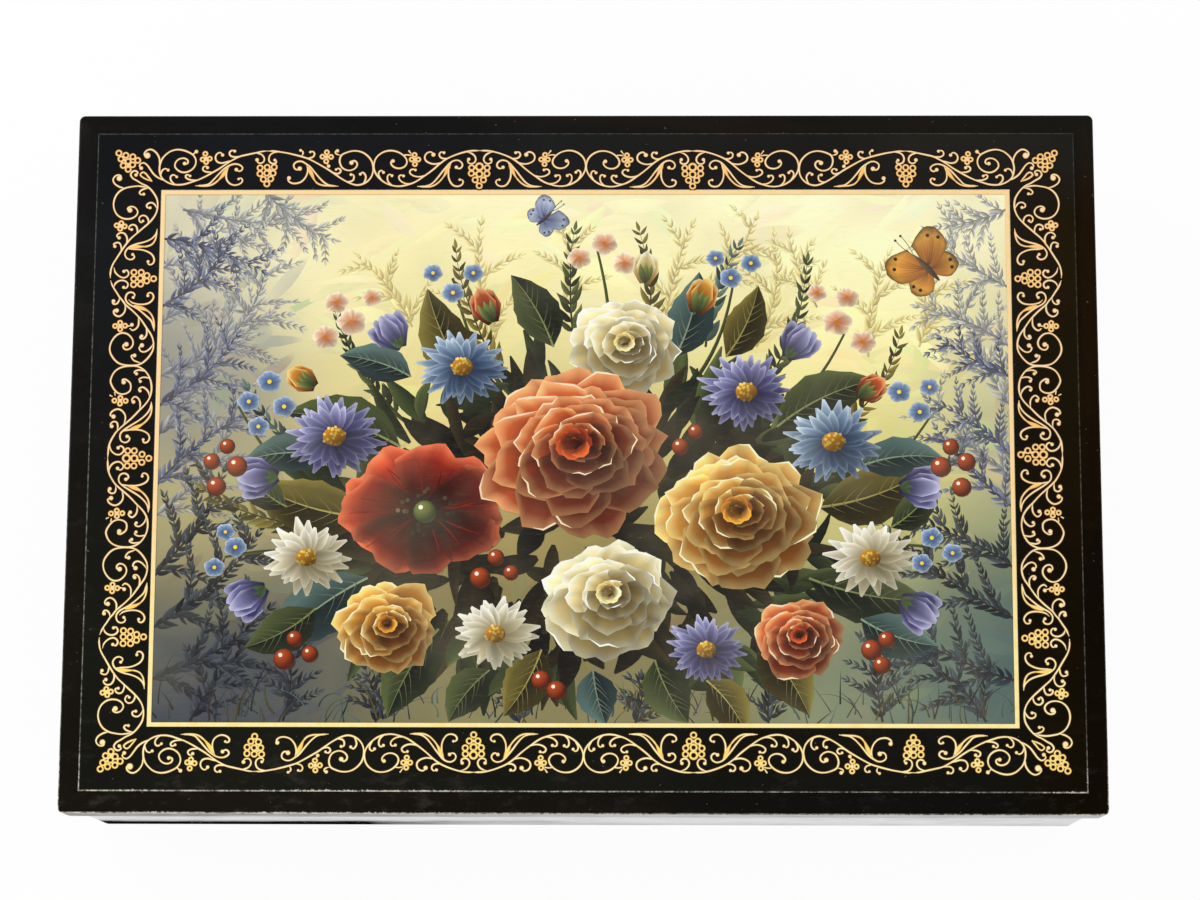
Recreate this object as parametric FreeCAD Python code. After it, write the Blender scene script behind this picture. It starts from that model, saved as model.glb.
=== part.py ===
# Hinged rectangular lacquered box: a mitred case with red liners that form the lip,
# and a shallow lid whose raised field sits in a bevelled frame, on two brass butt hinges.
# Millimetres, +Z up, front towards -Y, origin at the centre of the underside.
import FreeCAD, Part
import math
import os

Vector = FreeCAD.Vector
X_AXIS = Vector(1, 0, 0)
Z_AXIS = Vector(0, 0, 1)

# Whole box
lid_length = 203.0
lid_depth = 139.5
box_height = 50.0
lid_height = 10.4
lid_overhang = 1.1
seam_gap = 0.2
corner_radius = 1.2
cut_overrun = 2.0

# Case walls, bottom and liners
wall_thickness = 6.0
case_foot_chamfer = 0.5
case_top_chamfer = 0.3
bottom_thickness = 3.0
bottom_seat_width = 3.0
liner_thickness = 2.5
liner_side_gap = 0.05
lip_height = 4.0
lip_round = 0.9
floor_card_thickness = 1.0
floor_card_gap = 0.2

# Lid frame, field and lining
bevel_width = 4.1
bevel_drop = 0.9
bevel_corner_radius = 0.3
field_rise = 0.6
field_thickness = 4.8
field_edge_gap = 0.04
field_arris = 0.15
lip_to_rail_gap = 0.4
lid_arris_round = 0.5
lid_foot_chamfer = 0.3
lining_thickness = 0.8
lining_gap = 0.5

# Picture sheet, let into the field but a little proud of it
picture_length = 168.9
picture_depth = 107.2
picture_offset_y = 0.4
picture_thickness = 0.2
picture_rise = 0.06
picture_gap = 0.02

# Hinges
hinge_length = 22.0
hinge_end_distance = 40.0
hinge_inset = 0.8
back_chamfer_angle = 48.0
knuckle_count = 5
knuckle_radius = 1.4
knuckle_end_gap = 0.1
pocket_gap = 0.15
pin_radius = 0.7
pin_gap = 0.05
leaf_thickness = 0.8
leaf_width = 4.6
leaf_side_gap = 0.05
leaf_corner_radius = 0.6

# Hinge screws, two in each leaf
screw_shank_radius = 0.6
screw_head_radius = 1.1
screw_length = 4.6
screw_gap = 0.04
screw_end_distance = 4.2
screw_slot_width = 0.35
screw_slot_depth = 0.25

# Derived sizes
case_length = lid_length - 2 * lid_overhang
case_depth = lid_depth - 2 * lid_overhang
lid_bottom = box_height - lid_height
wall_top = lid_bottom - seam_gap
case_back = case_depth / 2
lid_back = lid_depth / 2

inner_length = case_length - 2 * wall_thickness
inner_depth = case_depth - 2 * wall_thickness
liner_length = inner_length - 2 * liner_side_gap
liner_depth = inner_depth - 2 * liner_side_gap
room_length = liner_length - 2 * liner_thickness
room_depth = liner_depth - 2 * liner_thickness
lip_top = wall_top + lip_height

field_top = box_height - picture_rise
field_bottom = field_top - field_thickness
bevel_top = field_top - field_rise
bevel_foot = bevel_top - bevel_drop
field_length = lid_length - 2 * bevel_width
field_depth = lid_depth - 2 * bevel_width
rail_width = lid_overhang + wall_thickness + liner_side_gap - lip_to_rail_gap
lid_room_length = lid_length - 2 * rail_width
lid_room_depth = lid_depth - 2 * rail_width

hinge_axis_y = case_back - hinge_inset
hinge_axis_z = wall_top + seam_gap / 2
hinge_centre_x = lid_length / 2 - hinge_end_distance
pocket_radius = knuckle_radius + pocket_gap
knuckle_pitch = hinge_length / knuckle_count
leaf_front_y = hinge_axis_y - leaf_width
screw_y = (leaf_front_y + hinge_axis_y - pocket_radius) / 2


def outline(length, depth, radius, z):
    """Closed rectangle about the Z axis with rounded corners, as a wire at height z."""
    half_x = length / 2
    half_y = depth / 2
    if radius <= 0:
        corners = [(-1, -1), (1, -1), (1, 1), (-1, 1), (-1, -1)]
        return Part.makePolygon([Vector(sx * half_x, sy * half_y, z) for sx, sy in corners])
    edges = []
    share = radius * (1 - math.sqrt(0.5))
    turns = [(1, -1), (1, 1), (-1, 1), (-1, -1)]
    starts = []
    for sx, sy in turns:
        along_x = Vector(sx * (half_x - radius), sy * half_y, z)
        along_y = Vector(sx * half_x, sy * (half_y - radius), z)
        middle = Vector(sx * (half_x - share), sy * (half_y - share), z)
        first, last = (along_x, along_y) if sx * sy < 0 else (along_y, along_x)
        starts.append((first, middle, last))
    for here, following in zip(starts, starts[1:] + starts[:1]):
        edges.append(Part.Arc(*here).toShape())
        edges.append(Part.LineSegment(here[2], following[0]).toShape())
    return Part.Wire(edges)


def slab(length, depth, low, high, radius=0):
    """Upright block with rounded vertical corners, centred on the Z axis."""
    face = Part.Face(outline(length, depth, radius, low))
    return face.extrude(Vector(0, 0, high - low))


def block(low, high):
    """Box between two opposite corners."""
    size = high - low
    return Part.makeBox(size.x, size.y, size.z, low)


def edges_at(shape, height):
    """The edges of a shape that lie level at one height."""
    near = cut_overrun / 1000
    return [
        edge
        for edge in shape.Edges
        if abs(edge.BoundBox.ZMin - height) < near and abs(edge.BoundBox.ZMax - height) < near
    ]


def mitred(ring, length, depth, reach):
    """Cuts a rectangular ring into its front, back, left and right pieces at 45 degree mitres."""
    out_x = length / 2 + cut_overrun
    out_y = depth / 2 + cut_overrun
    in_x = length / 2 - reach
    in_y = depth / 2 - reach
    height = ring.BoundBox.ZLength + 2 * cut_overrun
    low = ring.BoundBox.ZMin - cut_overrun
    plans = {
        "front": [(-out_x, -out_y), (out_x, -out_y), (in_x, -in_y), (-in_x, -in_y)],
        "back": [(out_x, out_y), (-out_x, out_y), (-in_x, in_y), (in_x, in_y)],
        "left": [(-out_x, out_y), (-out_x, -out_y), (-in_x, -in_y), (-in_x, in_y)],
        "right": [(out_x, -out_y), (out_x, out_y), (in_x, in_y), (in_x, -in_y)],
    }
    pieces = {}
    for side, plan in plans.items():
        points = [Vector(x, y, low) for x, y in plan + plan[:1]]
        wedge = Part.Face(Part.makePolygon(points)).extrude(Vector(0, 0, height))
        pieces[side] = ring.common(wedge)
    return pieces


def back_chamfer(height, direction):
    """Prism that opens the back of the seam, below it (direction -1) or above it (+1)."""
    reach = lid_back + cut_overrun - hinge_axis_y
    rise = direction * reach * math.tan(math.radians(back_chamfer_angle))
    start_x = -lid_length / 2 - cut_overrun
    lip = -direction * cut_overrun
    points = [
        Vector(start_x, hinge_axis_y, height),
        Vector(start_x, hinge_axis_y, height + lip),
        Vector(start_x, hinge_axis_y + reach, height + lip),
        Vector(start_x, hinge_axis_y + reach, height + rise),
    ]
    face = Part.Face(Part.makePolygon(points + points[:1]))
    return face.extrude(Vector(lid_length + 2 * cut_overrun, 0, 0))


def hinge_centres():
    """Middle of each hinge along X, by the side it is on."""
    return {"left": -hinge_centre_x, "right": hinge_centre_x}


def axis_cylinder(radius, start_x, length):
    """Cylinder on the hinge axis."""
    return Part.makeCylinder(radius, length, Vector(start_x, hinge_axis_y, hinge_axis_z), X_AXIS)


def hinge_pockets():
    """Room for both barrels, cut from the case and from the lid."""
    length = hinge_length + 2 * pocket_gap
    return [axis_cylinder(pocket_radius, x - length / 2, length) for x in hinge_centres().values()]


def leaf_mortise(centre_x, low, high):
    """Recess in which a leaf lies flush."""
    half = hinge_length / 2 + leaf_side_gap
    return block(
        Vector(centre_x - half, leaf_front_y - leaf_side_gap, low),
        Vector(centre_x + half, hinge_axis_y, high),
    )


def screw_places(centre_x):
    """The two screws of one leaf, along X."""
    reach = hinge_length / 2 - screw_end_distance
    return [centre_x - reach, centre_x + reach]


def screw_body(x, face_z, direction, gap=0):
    """Screw with its head sunk through the leaf, pointing down (direction -1) or up (+1).
    A gap makes the hole that the screw goes into."""
    aim = Vector(0, 0, direction)
    neck_z = face_z + direction * leaf_thickness
    head_r = screw_head_radius + gap
    shank_r = screw_shank_radius + gap
    head = Part.makeCone(head_r, shank_r, leaf_thickness, Vector(x, screw_y, face_z), aim)
    straight = screw_length - leaf_thickness + gap
    shank = Part.makeCylinder(shank_r, straight, Vector(x, screw_y, neck_z), aim)
    return head.fuse(shank).removeSplitter()


def screw(x, face_z, direction):
    """One screw with its driver slot."""
    half_slot = screw_slot_width / 2
    reach = screw_head_radius + cut_overrun
    depth = direction * screw_slot_depth
    lift = -direction * cut_overrun
    low_z, high_z = sorted((face_z + lift, face_z + depth))
    slot = block(
        Vector(x - reach, screw_y - half_slot, low_z),
        Vector(x + reach, screw_y + half_slot, high_z),
    )
    return screw_body(x, face_z, direction).cut(slot)


def screw_holes(face_z, direction):
    """Holes for the four screws on one side of the seam."""
    return [
        screw_body(x, face_z, direction, screw_gap)
        for centre_x in hinge_centres().values()
        for x in screw_places(centre_x)
    ]


def case_walls():
    """Four mitred walls with a seat for the bottom and mortises for the hinges."""
    outer = slab(case_length, case_depth, 0, wall_top, corner_radius)
    outer = outer.makeChamfer(case_foot_chamfer, edges_at(outer, 0))
    outer = outer.makeChamfer(case_top_chamfer, edges_at(outer, wall_top))
    seat_inset = 2 * (wall_thickness - bottom_seat_width)
    cuts = [
        slab(inner_length, inner_depth, -cut_overrun, wall_top + cut_overrun),
        slab(case_length - seat_inset, case_depth - seat_inset, -cut_overrun, bottom_thickness),
        back_chamfer(wall_top, -1),
    ]
    cuts += hinge_pockets()
    leaf_low = wall_top - leaf_thickness
    for x in hinge_centres().values():
        cuts.append(leaf_mortise(x, leaf_low, wall_top + cut_overrun))
    cuts += screw_holes(wall_top, -1)
    return mitred(outer.cut(cuts), case_length, case_depth, wall_thickness + cut_overrun)


def bottom_panel():
    """Flat bottom that lies in the walls' seat, flush with their feet."""
    inset = 2 * (wall_thickness - bottom_seat_width + liner_side_gap)
    return slab(case_length - inset, case_depth - inset, 0, bottom_thickness)


def case_liners():
    """Four mitred liners that stand on the bottom and rise above the walls as the lip."""
    outer = slab(liner_length, liner_depth, bottom_thickness, lip_top)
    ring = outer.cut(slab(room_length, room_depth, 0, lip_top + cut_overrun))
    ring = ring.makeFillet(lip_round, edges_at(ring, lip_top))
    return mitred(ring, liner_length, liner_depth, liner_thickness + cut_overrun)


def floor_card():
    """Loose card on the bottom, inside the liners."""
    length = room_length - 2 * floor_card_gap
    depth = room_depth - 2 * floor_card_gap
    return slab(length, depth, bottom_thickness, bottom_thickness + floor_card_thickness)


def lid_rails():
    """Four mitred rails with a bevelled top, a seat for the field and mortises below."""
    upright = slab(lid_length, lid_depth, lid_bottom, bevel_foot, corner_radius)
    foot = outline(lid_length, lid_depth, corner_radius, bevel_foot)
    crest = outline(field_length, field_depth, bevel_corner_radius, bevel_top)
    outer = upright.fuse(Part.makeLoft([foot, crest], True, True)).removeSplitter()
    outer = outer.makeFillet(lid_arris_round, edges_at(outer, bevel_foot))
    outer = outer.makeChamfer(lid_foot_chamfer, edges_at(outer, lid_bottom))
    top = box_height + cut_overrun
    cuts = [
        slab(lid_room_length, lid_room_depth, lid_bottom - cut_overrun, top),
        slab(field_length, field_depth, field_bottom, top),
        back_chamfer(lid_bottom, 1),
    ]
    cuts += hinge_pockets()
    for x in hinge_centres().values():
        cuts.append(leaf_mortise(x, lid_bottom - cut_overrun, lid_bottom + leaf_thickness))
    cuts += screw_holes(lid_bottom, 1)
    return mitred(outer.cut(cuts), lid_length, lid_depth, rail_width + cut_overrun)


def lid_field():
    """Raised board in the lid frame, with a shallow recess for the picture."""
    length = field_length - 2 * field_edge_gap
    depth = field_depth - 2 * field_edge_gap
    board = slab(length, depth, field_bottom, field_top)
    board = board.makeChamfer(field_arris, edges_at(board, field_top))
    recess = slab(
        picture_length + 2 * picture_gap,
        picture_depth + 2 * picture_gap,
        box_height - picture_thickness,
        box_height + cut_overrun,
    )
    return board.cut(recess.translated(Vector(0, picture_offset_y, 0)))


def picture_sheet():
    """Printed sheet in the field's recess."""
    low = box_height - picture_thickness
    sheet = slab(picture_length, picture_depth, low, box_height)
    return sheet.translated(Vector(0, picture_offset_y, 0))


def lid_lining():
    """Card on the underside of the field, inside the rails."""
    length = lid_room_length - 2 * lining_gap
    depth = lid_room_depth - 2 * lining_gap
    return slab(length, depth, field_bottom - lining_thickness, field_bottom)


def hinge_leaf(centre_x, low, high, parity):
    """Leaf with every second knuckle of the barrel, bored for the pin.
    Parity 0 takes the end knuckles and 1 the ones between them."""
    start = centre_x - hinge_length / 2
    plate = block(Vector(start, leaf_front_y, low), Vector(start + hinge_length, hinge_axis_y, high))
    front_corners = [
        edge
        for edge in plate.Edges
        if abs(edge.BoundBox.YMax - leaf_front_y) < leaf_side_gap
        and edge.BoundBox.ZLength > leaf_thickness / 2
    ]
    plate = plate.makeFillet(leaf_corner_radius, front_corners)
    knuckles = []
    notches = []
    for index in range(knuckle_count):
        left = start + index * knuckle_pitch
        if index % 2 == parity:
            gap_before = knuckle_end_gap / 2 if index else 0
            gap_after = knuckle_end_gap / 2 if index < knuckle_count - 1 else 0
            length = knuckle_pitch - gap_before - gap_after
            knuckles.append(axis_cylinder(knuckle_radius, left + gap_before, length))
        else:
            widen = knuckle_end_gap / 2
            before = widen if index else cut_overrun
            after = widen if index < knuckle_count - 1 else cut_overrun
            notch = axis_cylinder(pocket_radius, left - before, knuckle_pitch + before + after)
            notches.append(notch)
    bore = axis_cylinder(pin_radius + pin_gap, start - cut_overrun, hinge_length + 2 * cut_overrun)
    leaf = plate.cut(notches).fuse(knuckles).removeSplitter()
    return leaf.cut(bore)


def case_leaf(centre_x):
    """Lower leaf, flush with the wall's top."""
    leaf = hinge_leaf(centre_x, wall_top - leaf_thickness, wall_top, 0)
    holes = [screw_body(x, wall_top, -1, screw_gap) for x in screw_places(centre_x)]
    return leaf.cut(holes)


def lid_leaf(centre_x):
    """Upper leaf, flush with the rail's underside."""
    leaf = hinge_leaf(centre_x, lid_bottom, lid_bottom + leaf_thickness, 1)
    holes = [screw_body(x, lid_bottom, 1, screw_gap) for x in screw_places(centre_x)]
    return leaf.cut(holes)


def hinge_pin(centre_x):
    """Pin through all the knuckles, flush at both ends."""
    start = centre_x - hinge_length / 2
    return axis_cylinder(pin_radius, start, hinge_length)


def screws(face_z, direction):
    """The four screws on one side of the seam, as separate solids."""
    return Part.makeCompound(
        [
            screw(x, face_z, direction)
            for centre_x in hinge_centres().values()
            for x in screw_places(centre_x)
        ]
    )


def nodes():
    """Every piece of the box by name."""
    made = {
        "bottom_panel": bottom_panel(),
        "floor_card": floor_card(),
        "lid_field_panel": lid_field(),
        "picture_sheet": picture_sheet(),
        "lid_lining": lid_lining(),
        "case_hinge_screws": screws(wall_top, -1),
        "lid_hinge_screws": screws(lid_bottom, 1),
    }
    for side, piece in case_walls().items():
        made[side + "_wall"] = piece
    for side, piece in case_liners().items():
        made[side + "_liner"] = piece
    for side, piece in lid_rails().items():
        made["lid_" + side + "_rail"] = piece
    for side, x in hinge_centres().items():
        made[side + "_hinge_case_leaf"] = case_leaf(x)
        made[side + "_hinge_lid_leaf"] = lid_leaf(x)
        made[side + "_hinge_pin"] = hinge_pin(x)
    return made


os.makedirs("parts", exist_ok=True)
for name, shape in nodes().items():
    solids = shape.Solids
    sound = all(solid.isValid() and solid.Volume > 0 for solid in solids)
    print(name, len(solids), "solid" if sound else "UNSOUND", round(shape.Volume, 1))
    shape.exportStep(os.path.join("parts", name + ".step"))
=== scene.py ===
"""Looks of a hinged lacquer box: gloss black with worn arrises and a painted highlight along them, a gold
vine border and a painted lid.
"""
import math
import bpy
import numpy as np
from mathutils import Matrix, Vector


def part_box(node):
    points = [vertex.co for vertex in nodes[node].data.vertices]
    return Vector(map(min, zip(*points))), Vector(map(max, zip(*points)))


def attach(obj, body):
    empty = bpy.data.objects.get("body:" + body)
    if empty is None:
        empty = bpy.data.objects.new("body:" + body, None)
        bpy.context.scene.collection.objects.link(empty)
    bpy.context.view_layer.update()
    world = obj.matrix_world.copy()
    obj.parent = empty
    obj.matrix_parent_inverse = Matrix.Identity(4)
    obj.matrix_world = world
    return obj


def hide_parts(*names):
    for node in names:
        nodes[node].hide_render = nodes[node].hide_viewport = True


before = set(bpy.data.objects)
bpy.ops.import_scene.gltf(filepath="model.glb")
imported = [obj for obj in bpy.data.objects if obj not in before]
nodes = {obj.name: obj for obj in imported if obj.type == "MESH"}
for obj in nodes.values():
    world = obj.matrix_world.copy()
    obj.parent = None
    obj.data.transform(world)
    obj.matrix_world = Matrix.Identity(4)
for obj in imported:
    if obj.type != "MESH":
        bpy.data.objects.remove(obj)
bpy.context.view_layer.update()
MM = 0.001
rng = np.random.default_rng(11)


def box_of(*names):
    """The box round some nodes, in millimetres: its low and its high corner."""
    boxes = np.array([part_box(name) for name in names]) / MM
    return boxes[:, 0].min(axis=0), boxes[:, 1].max(axis=0)


field_low, field_high = box_of("lid_field_panel")
sheet_low, sheet_high = box_of("picture_sheet")
field_top = field_high[2]


class Tree:
    """A material's node tree with short ways to add its nodes."""

    def __init__(self, name):
        self.material = bpy.data.materials.new(name)
        self.material.use_nodes = True
        self.tree = self.material.node_tree
        self.tree.nodes.clear()
        self.shader = self.add("ShaderNodeBsdfPrincipled")
        self.output = self.add("ShaderNodeOutputMaterial")
        self.link(self.shader.outputs[0], self.output.inputs[0])
        self.place = self.add("ShaderNodeTexCoord").outputs["Object"]

    def link(self, source, target):
        """A link from one node's socket to another's."""
        self.tree.links.new(source, target)

    def put(self, target, value):
        """A link into a socket, or a plain value for it."""
        if isinstance(value, bpy.types.NodeSocket):
            self.link(value, target)
        elif isinstance(value, (tuple, list)) and len(value) == 3 and len(target.default_value) == 4:
            target.default_value = (*value, 1)
        else:
            target.default_value = value

    def add(self, kind, inputs=(), **settings):
        """A new node, its settings made before its inputs are filled."""
        node = self.tree.nodes.new(kind)
        for name, value in settings.items():
            setattr(node, name, value)
        for name, value in dict(inputs).items():
            self.put(node.inputs[name], value)
        return node

    def math(self, operation, a, b=0.0, c=0.0):
        """The result of a sum or a comparison."""
        return self.add("ShaderNodeMath", {0: a, 1: b, 2: c}, operation=operation).outputs[0]

    def times(self, a, b):
        """The product of two numbers or sockets."""
        return self.math("MULTIPLY", a, b)

    def mix(self, share, first, second, blend="MIX"):
        """Two colours mixed by a share from 0 to 1."""
        inputs = {0: share, 6: first, 7: second}
        return self.add("ShaderNodeMix", inputs, data_type="RGBA", blend_type=blend).outputs[2]

    def ramp(self, value, low, high, to_low=0.0, to_high=1.0):
        """A smooth change from one number to another while a value goes from low to high."""
        inputs = {"Value": value, "From Min": low, "From Max": high, "To Min": to_low, "To Max": to_high}
        return self.add("ShaderNodeMapRange", inputs, interpolation_type="SMOOTHSTEP").outputs[0]

    def noise(self, per_mm, detail=3.0, roughness=0.5, stretch=(1, 1, 1), distortion=0.0):
        """Noise with per_mm waves in a millimetre, more of them where it is stretched by more than one."""
        scale = [share * per_mm / MM for share in stretch]
        scaled = self.add("ShaderNodeMapping", {"Vector": self.place, "Scale": scale})
        inputs = {"Vector": scaled.outputs[0], "Scale": 1.0, "Detail": detail, "Roughness": roughness,
                  "Distortion": distortion}
        return self.add("ShaderNodeTexNoise", inputs).outputs[0]

    def bump(self, height, distance_mm, strength=1.0, under=None):
        """A surface raised by a height from 0 to 1, perhaps on top of another bump."""
        inputs = {"Height": height, "Distance": distance_mm * MM, "Strength": strength}
        if under is not None:
            inputs["Normal"] = under
        return self.add("ShaderNodeBump", inputs).outputs[0]

    def look(self, color, roughness, normal, **plain):
        """The finished material, with any other inputs of its shader as plain values."""
        self.put(self.shader.inputs["Base Color"], color)
        self.put(self.shader.inputs["Roughness"], roughness)
        self.put(self.shader.inputs["Normal"], normal)
        for name, value in plain.items():
            self.shader.inputs[name.replace("_", " ")].default_value = value
        return self.material


# Lacquer. In its ramps, places are millimetres across the lid and towards its back.
pale_ground_and_highlight = (0.78, 0.74, 0.62)
streak_brown = (0.013, 0.0065, 0.0018)
speck_tone = (0.3, 0.28, 0.24)
dust = (0.032, 0.029, 0.024)
# Warm tint of a painted reflection at the right end: one for the colour, one for the shine.
warm_reflection_tint, warm_shine = (1.0, 0.68, 0.25), (1.0, 0.7, 0.35)
cloud_dark, cloud_light = (0.72, 0.72, 0.72), (1.25, 1.25, 1.25)


def where(t):
    """A point's place across the lid, towards its back and upward, in millimetres."""
    split = t.add("ShaderNodeSeparateXYZ", {0: t.place})
    return [t.times(output, 1 / MM) for output in split.outputs]


def arris_distance(t, low, high):
    """Millimetres from a point of the surface to the nearest arris of a box, worked out from its place."""
    inside = []
    for place, centre, half in zip(where(t), (low + high) / 2, (high - low) / 2):
        offset = t.math("ABSOLUTE", t.math("SUBTRACT", place, float(centre)))
        inside.append(t.math("MAXIMUM", t.math("SUBTRACT", float(half), offset), 0.0))
    a, b, c = inside
    near = t.math("MINIMUM", a, b)
    far = t.math("MAXIMUM", a, b)
    return t.math("MAXIMUM", near, t.math("MINIMUM", far, c))


def handling_and_highlight(t):
    """How much hands have worn a place, which also sets how strongly the arris highlight is painted: most
    along the front, above all at its left and right corner.
    """
    across, deep, _ = where(t)
    front = t.times(t.ramp(deep, -54.0, -65.0, 0.0, 0.7), t.ramp(across, 20.0, -40.0, 0.28, 1.0))
    corner = t.times(t.ramp(across, 87.0, 96.0, 0.0, 0.6), t.ramp(deep, -58.0, -65.0))
    side = t.times(t.ramp(deep, 70.0, -60.0, 0.1, 0.34), t.ramp(across, 100.0, -90.0, 0.5, 1.0))
    return t.math("ADD", side, t.math("ADD", front, corner))


def arris_wear_and_highlight(t, low, high, rub_width):
    """Where the pale ground shows: chips along a box's arrises, and a pale band beside them that is partly
    lacquer worn thin and partly a painted highlight.
    """
    use = handling_and_highlight(t)
    distance = arris_distance(t, low, high)
    patches = t.ramp(t.noise(0.05, detail=5.0, roughness=0.6), 0.34, 0.56, 0.25, 1.0)
    crumbs = t.ramp(t.noise(1.6, detail=7.0, roughness=0.75), 0.36, 0.68, 0.05, 1.0)
    reach = t.times(t.times(patches, crumbs), t.times(use, rub_width))
    chipped = t.times(t.ramp(t.math("SUBTRACT", reach, distance), -0.02, 0.08), 0.8)
    broken = t.ramp(t.noise(0.8, detail=5.0, roughness=0.8), 0.4, 0.62, 0.15, 1.0)
    # Partly painted highlight: a pale band along the arris, partly lacquer worn thin.
    thinned_and_lit = t.times(t.times(t.ramp(distance, 0.33, 0.1), use), broken)
    return t.math("MAXIMUM", chipped, thinned_and_lit)


def lacquer_color(t, tones, brown, grain):
    """The lacquer's colour, from four corner tones that carry a painted reflection, with clouds, brown
    streaks, specks and scuffs.
    """
    across, deep, _ = where(t)
    to_right, to_back = t.ramp(across, -70.0, 90.0), t.ramp(deep, -36.0, 62.0)
    front_left, front_right, back_left, back_right = tones
    # Painted reflection: the corner tones make the black lighter towards the back and darkest at the front
    # right.
    even = t.mix(to_back, t.mix(to_right, front_left, front_right), t.mix(to_right, back_left, back_right))
    cloud = t.mix(t.ramp(t.noise(0.03, detail=4.0), 0.3, 0.7), cloud_dark, cloud_light)
    streaks = t.ramp(t.noise(0.12, detail=5.0, roughness=0.6, stretch=grain), 0.46, 0.7)
    browned = t.times(streaks, t.times(t.ramp(across, -100.0, 60.0, 0.3, 1.0), brown))
    streaked = t.mix(browned, t.mix(1.0, even, cloud, "MULTIPLY"), streak_brown)
    # Painted reflection: the right end of the box is tinted warm brown, in its colour and in its shine.
    right_end_reflection = t.times(t.ramp(across, 76.0, 97.0), t.ramp(deep, 62.0, 46.0))
    t.put(t.shader.inputs["Specular Tint"], t.mix(right_end_reflection, (1.0, 1.0, 1.0), warm_shine))
    warmed = t.mix(right_end_reflection, streaked, warm_reflection_tint, "MULTIPLY")
    specks = t.times(t.ramp(t.noise(1.1, detail=1.0), 0.765, 0.80), 0.22)
    scuffs = t.ramp(t.noise(0.35, detail=6.0, roughness=0.7, stretch=(0.5, 1.0, 1.0)), 0.52, 0.72)
    return t.mix(t.times(scuffs, t.times(handling_and_highlight(t), 0.7)), t.mix(specks, warmed, speck_tone), dust)


def black_lacquer(name, box, rub_width, tones, brown, grain, polish, matt_places):
    """Gloss black over a pale ground, worn through at the arrises of a box with a painted highlight along
    them, and with a painted reflection in its corner tones.
    """
    t = Tree(name)
    worn_and_lit = arris_wear_and_highlight(t, *box, rub_width)
    matt, scraped = matt_places(t)
    color = t.mix(t.math("MAXIMUM", worn_and_lit, scraped), lacquer_color(t, tones, brown, grain), pale_ground_and_highlight)
    smudge = t.noise(0.06, detail=5.0, roughness=0.65, distortion=0.6)
    roughness = t.math("ADD", t.ramp(smudge, 0.3, 0.75, 0.10, 0.24), t.times(worn_and_lit, 0.35))
    orange_peel = t.bump(t.noise(0.35, detail=2.0), 0.02, 0.25)
    pores = t.bump(t.noise(2.5, detail=3.0, stretch=grain), 0.006, 0.3, under=orange_peel)
    surface = t.add("ShaderNodeNewGeometry")
    upright = t.add("ShaderNodeSeparateXYZ", {0: surface.outputs["True Normal"]}).outputs[2]
    polished = t.ramp(t.math("ABSOLUTE", upright), 0.6, 0.3, 0.0, polish)
    # Matt places lose their coat and shine; on the walls this paints shade along the foot.
    shine = t.math("SUBTRACT", 1.0, matt)
    t.put(t.shader.inputs["Coat Weight"], t.times(polished, shine))
    t.put(t.shader.inputs["Specular IOR Level"], t.times(0.055, shine))
    return t.look(color, roughness, pores, Coat_Roughness=0.06)


def wall_matt(t):
    """How matt and scraped a wall is: a little at its foot, most in a band at the front's left half. Taking
    the shine away there paints a dark band of shade along the foot; the scraped flecks in the band are wear.
    """
    across, deep, upward = where(t)
    # Painted shade: a matt foot, with its shine taken away so it stays dark, as a shadow along the foot
    # would.
    soft = t.times(t.ramp(upward, 12.0, 3.0), t.ramp(across, 60.0, -90.0, 0.2, 1.0))
    wavy = t.ramp(t.noise(0.25, detail=5.0, stretch=(0.3, 1.0, 1.0)), 0.3, 0.7, 0.0, 3.0)
    # Painted shade: a wavy matt band low on the front, widest at the left, dark where a shadow lies along the
    # foot.
    band = t.times(t.ramp(t.math("SUBTRACT", upward, wavy), 16.0, 7.0), t.ramp(across, 25.0, -45.0))
    matt_shade_band = t.times(band, t.ramp(deep, -66.0, -67.5))
    crumbs = t.ramp(t.noise(1.1, detail=2.0), 0.7, 0.75, 0.0, 0.5)
    return t.math("MAXIMUM", soft, matt_shade_band), t.times(matt_shade_band, crumbs)


def rail_matt(t):
    """How matt a rail's upright face is, most so at the left of the front. Nothing is scraped."""
    across, deep, _ = where(t)
    streaky = t.ramp(t.noise(0.1, detail=5.0, stretch=(0.2, 1.0, 3.0)), 0.35, 0.65, 0.75, 1.0)
    forward = t.times(t.ramp(across, 60.0, -90.0, 0.35, 0.9), t.ramp(deep, -69.0, -69.5))
    return t.times(streaky, forward), 0.0


def evenly_glossy(t):
    """No matt places, and none scraped."""
    return 0.0, 0.0


def red_lacquer(name):
    """Satin red, brushed on, a little uneven and worn dull in places."""
    t = Tree(name)
    brushed = t.noise(0.3, detail=4.0, stretch=(0.15, 1.6, 1.0))
    cloud = t.noise(0.03, detail=4.0)
    red = t.mix(t.ramp(cloud, 0.3, 0.7), (0.43, 0.028, 0.015), (0.50, 0.040, 0.020))
    dark = t.mix(t.ramp(brushed, 0.4, 0.75, 0.0, 0.24), red, (0.23, 0.012, 0.008))
    specks = t.times(t.ramp(t.noise(1.4, detail=1.0), 0.75, 0.79), 0.4)
    color = t.mix(specks, dark, (0.06, 0.01, 0.008))
    roughness = t.ramp(t.noise(0.08, detail=5.0), 0.3, 0.7, 0.34, 0.44)
    normal = t.bump(brushed, 0.02, 0.3)
    return t.look(color, roughness, normal, Specular_IOR_Level=0.35)


def brass(name):
    """Drawn brass with a light tarnish and fine scratches."""
    t = Tree(name)
    tarnish = t.noise(0.25, detail=6.0, roughness=0.65)
    scratches = t.noise(1.2, detail=3.0, stretch=(0.08, 1.0, 1.0))
    color = t.mix(t.ramp(tarnish, 0.42, 0.72), (0.78, 0.57, 0.24), (0.42, 0.26, 0.09))
    scratched = t.ramp(scratches, 0.5, 0.8, 0.0, 0.12)
    roughness = t.math("ADD", t.ramp(tarnish, 0.35, 0.75, 0.22, 0.42), scratched)
    normal = t.bump(scratches, 0.012, 0.4)
    return t.look(color, roughness, normal, Metallic=1.0)


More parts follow.
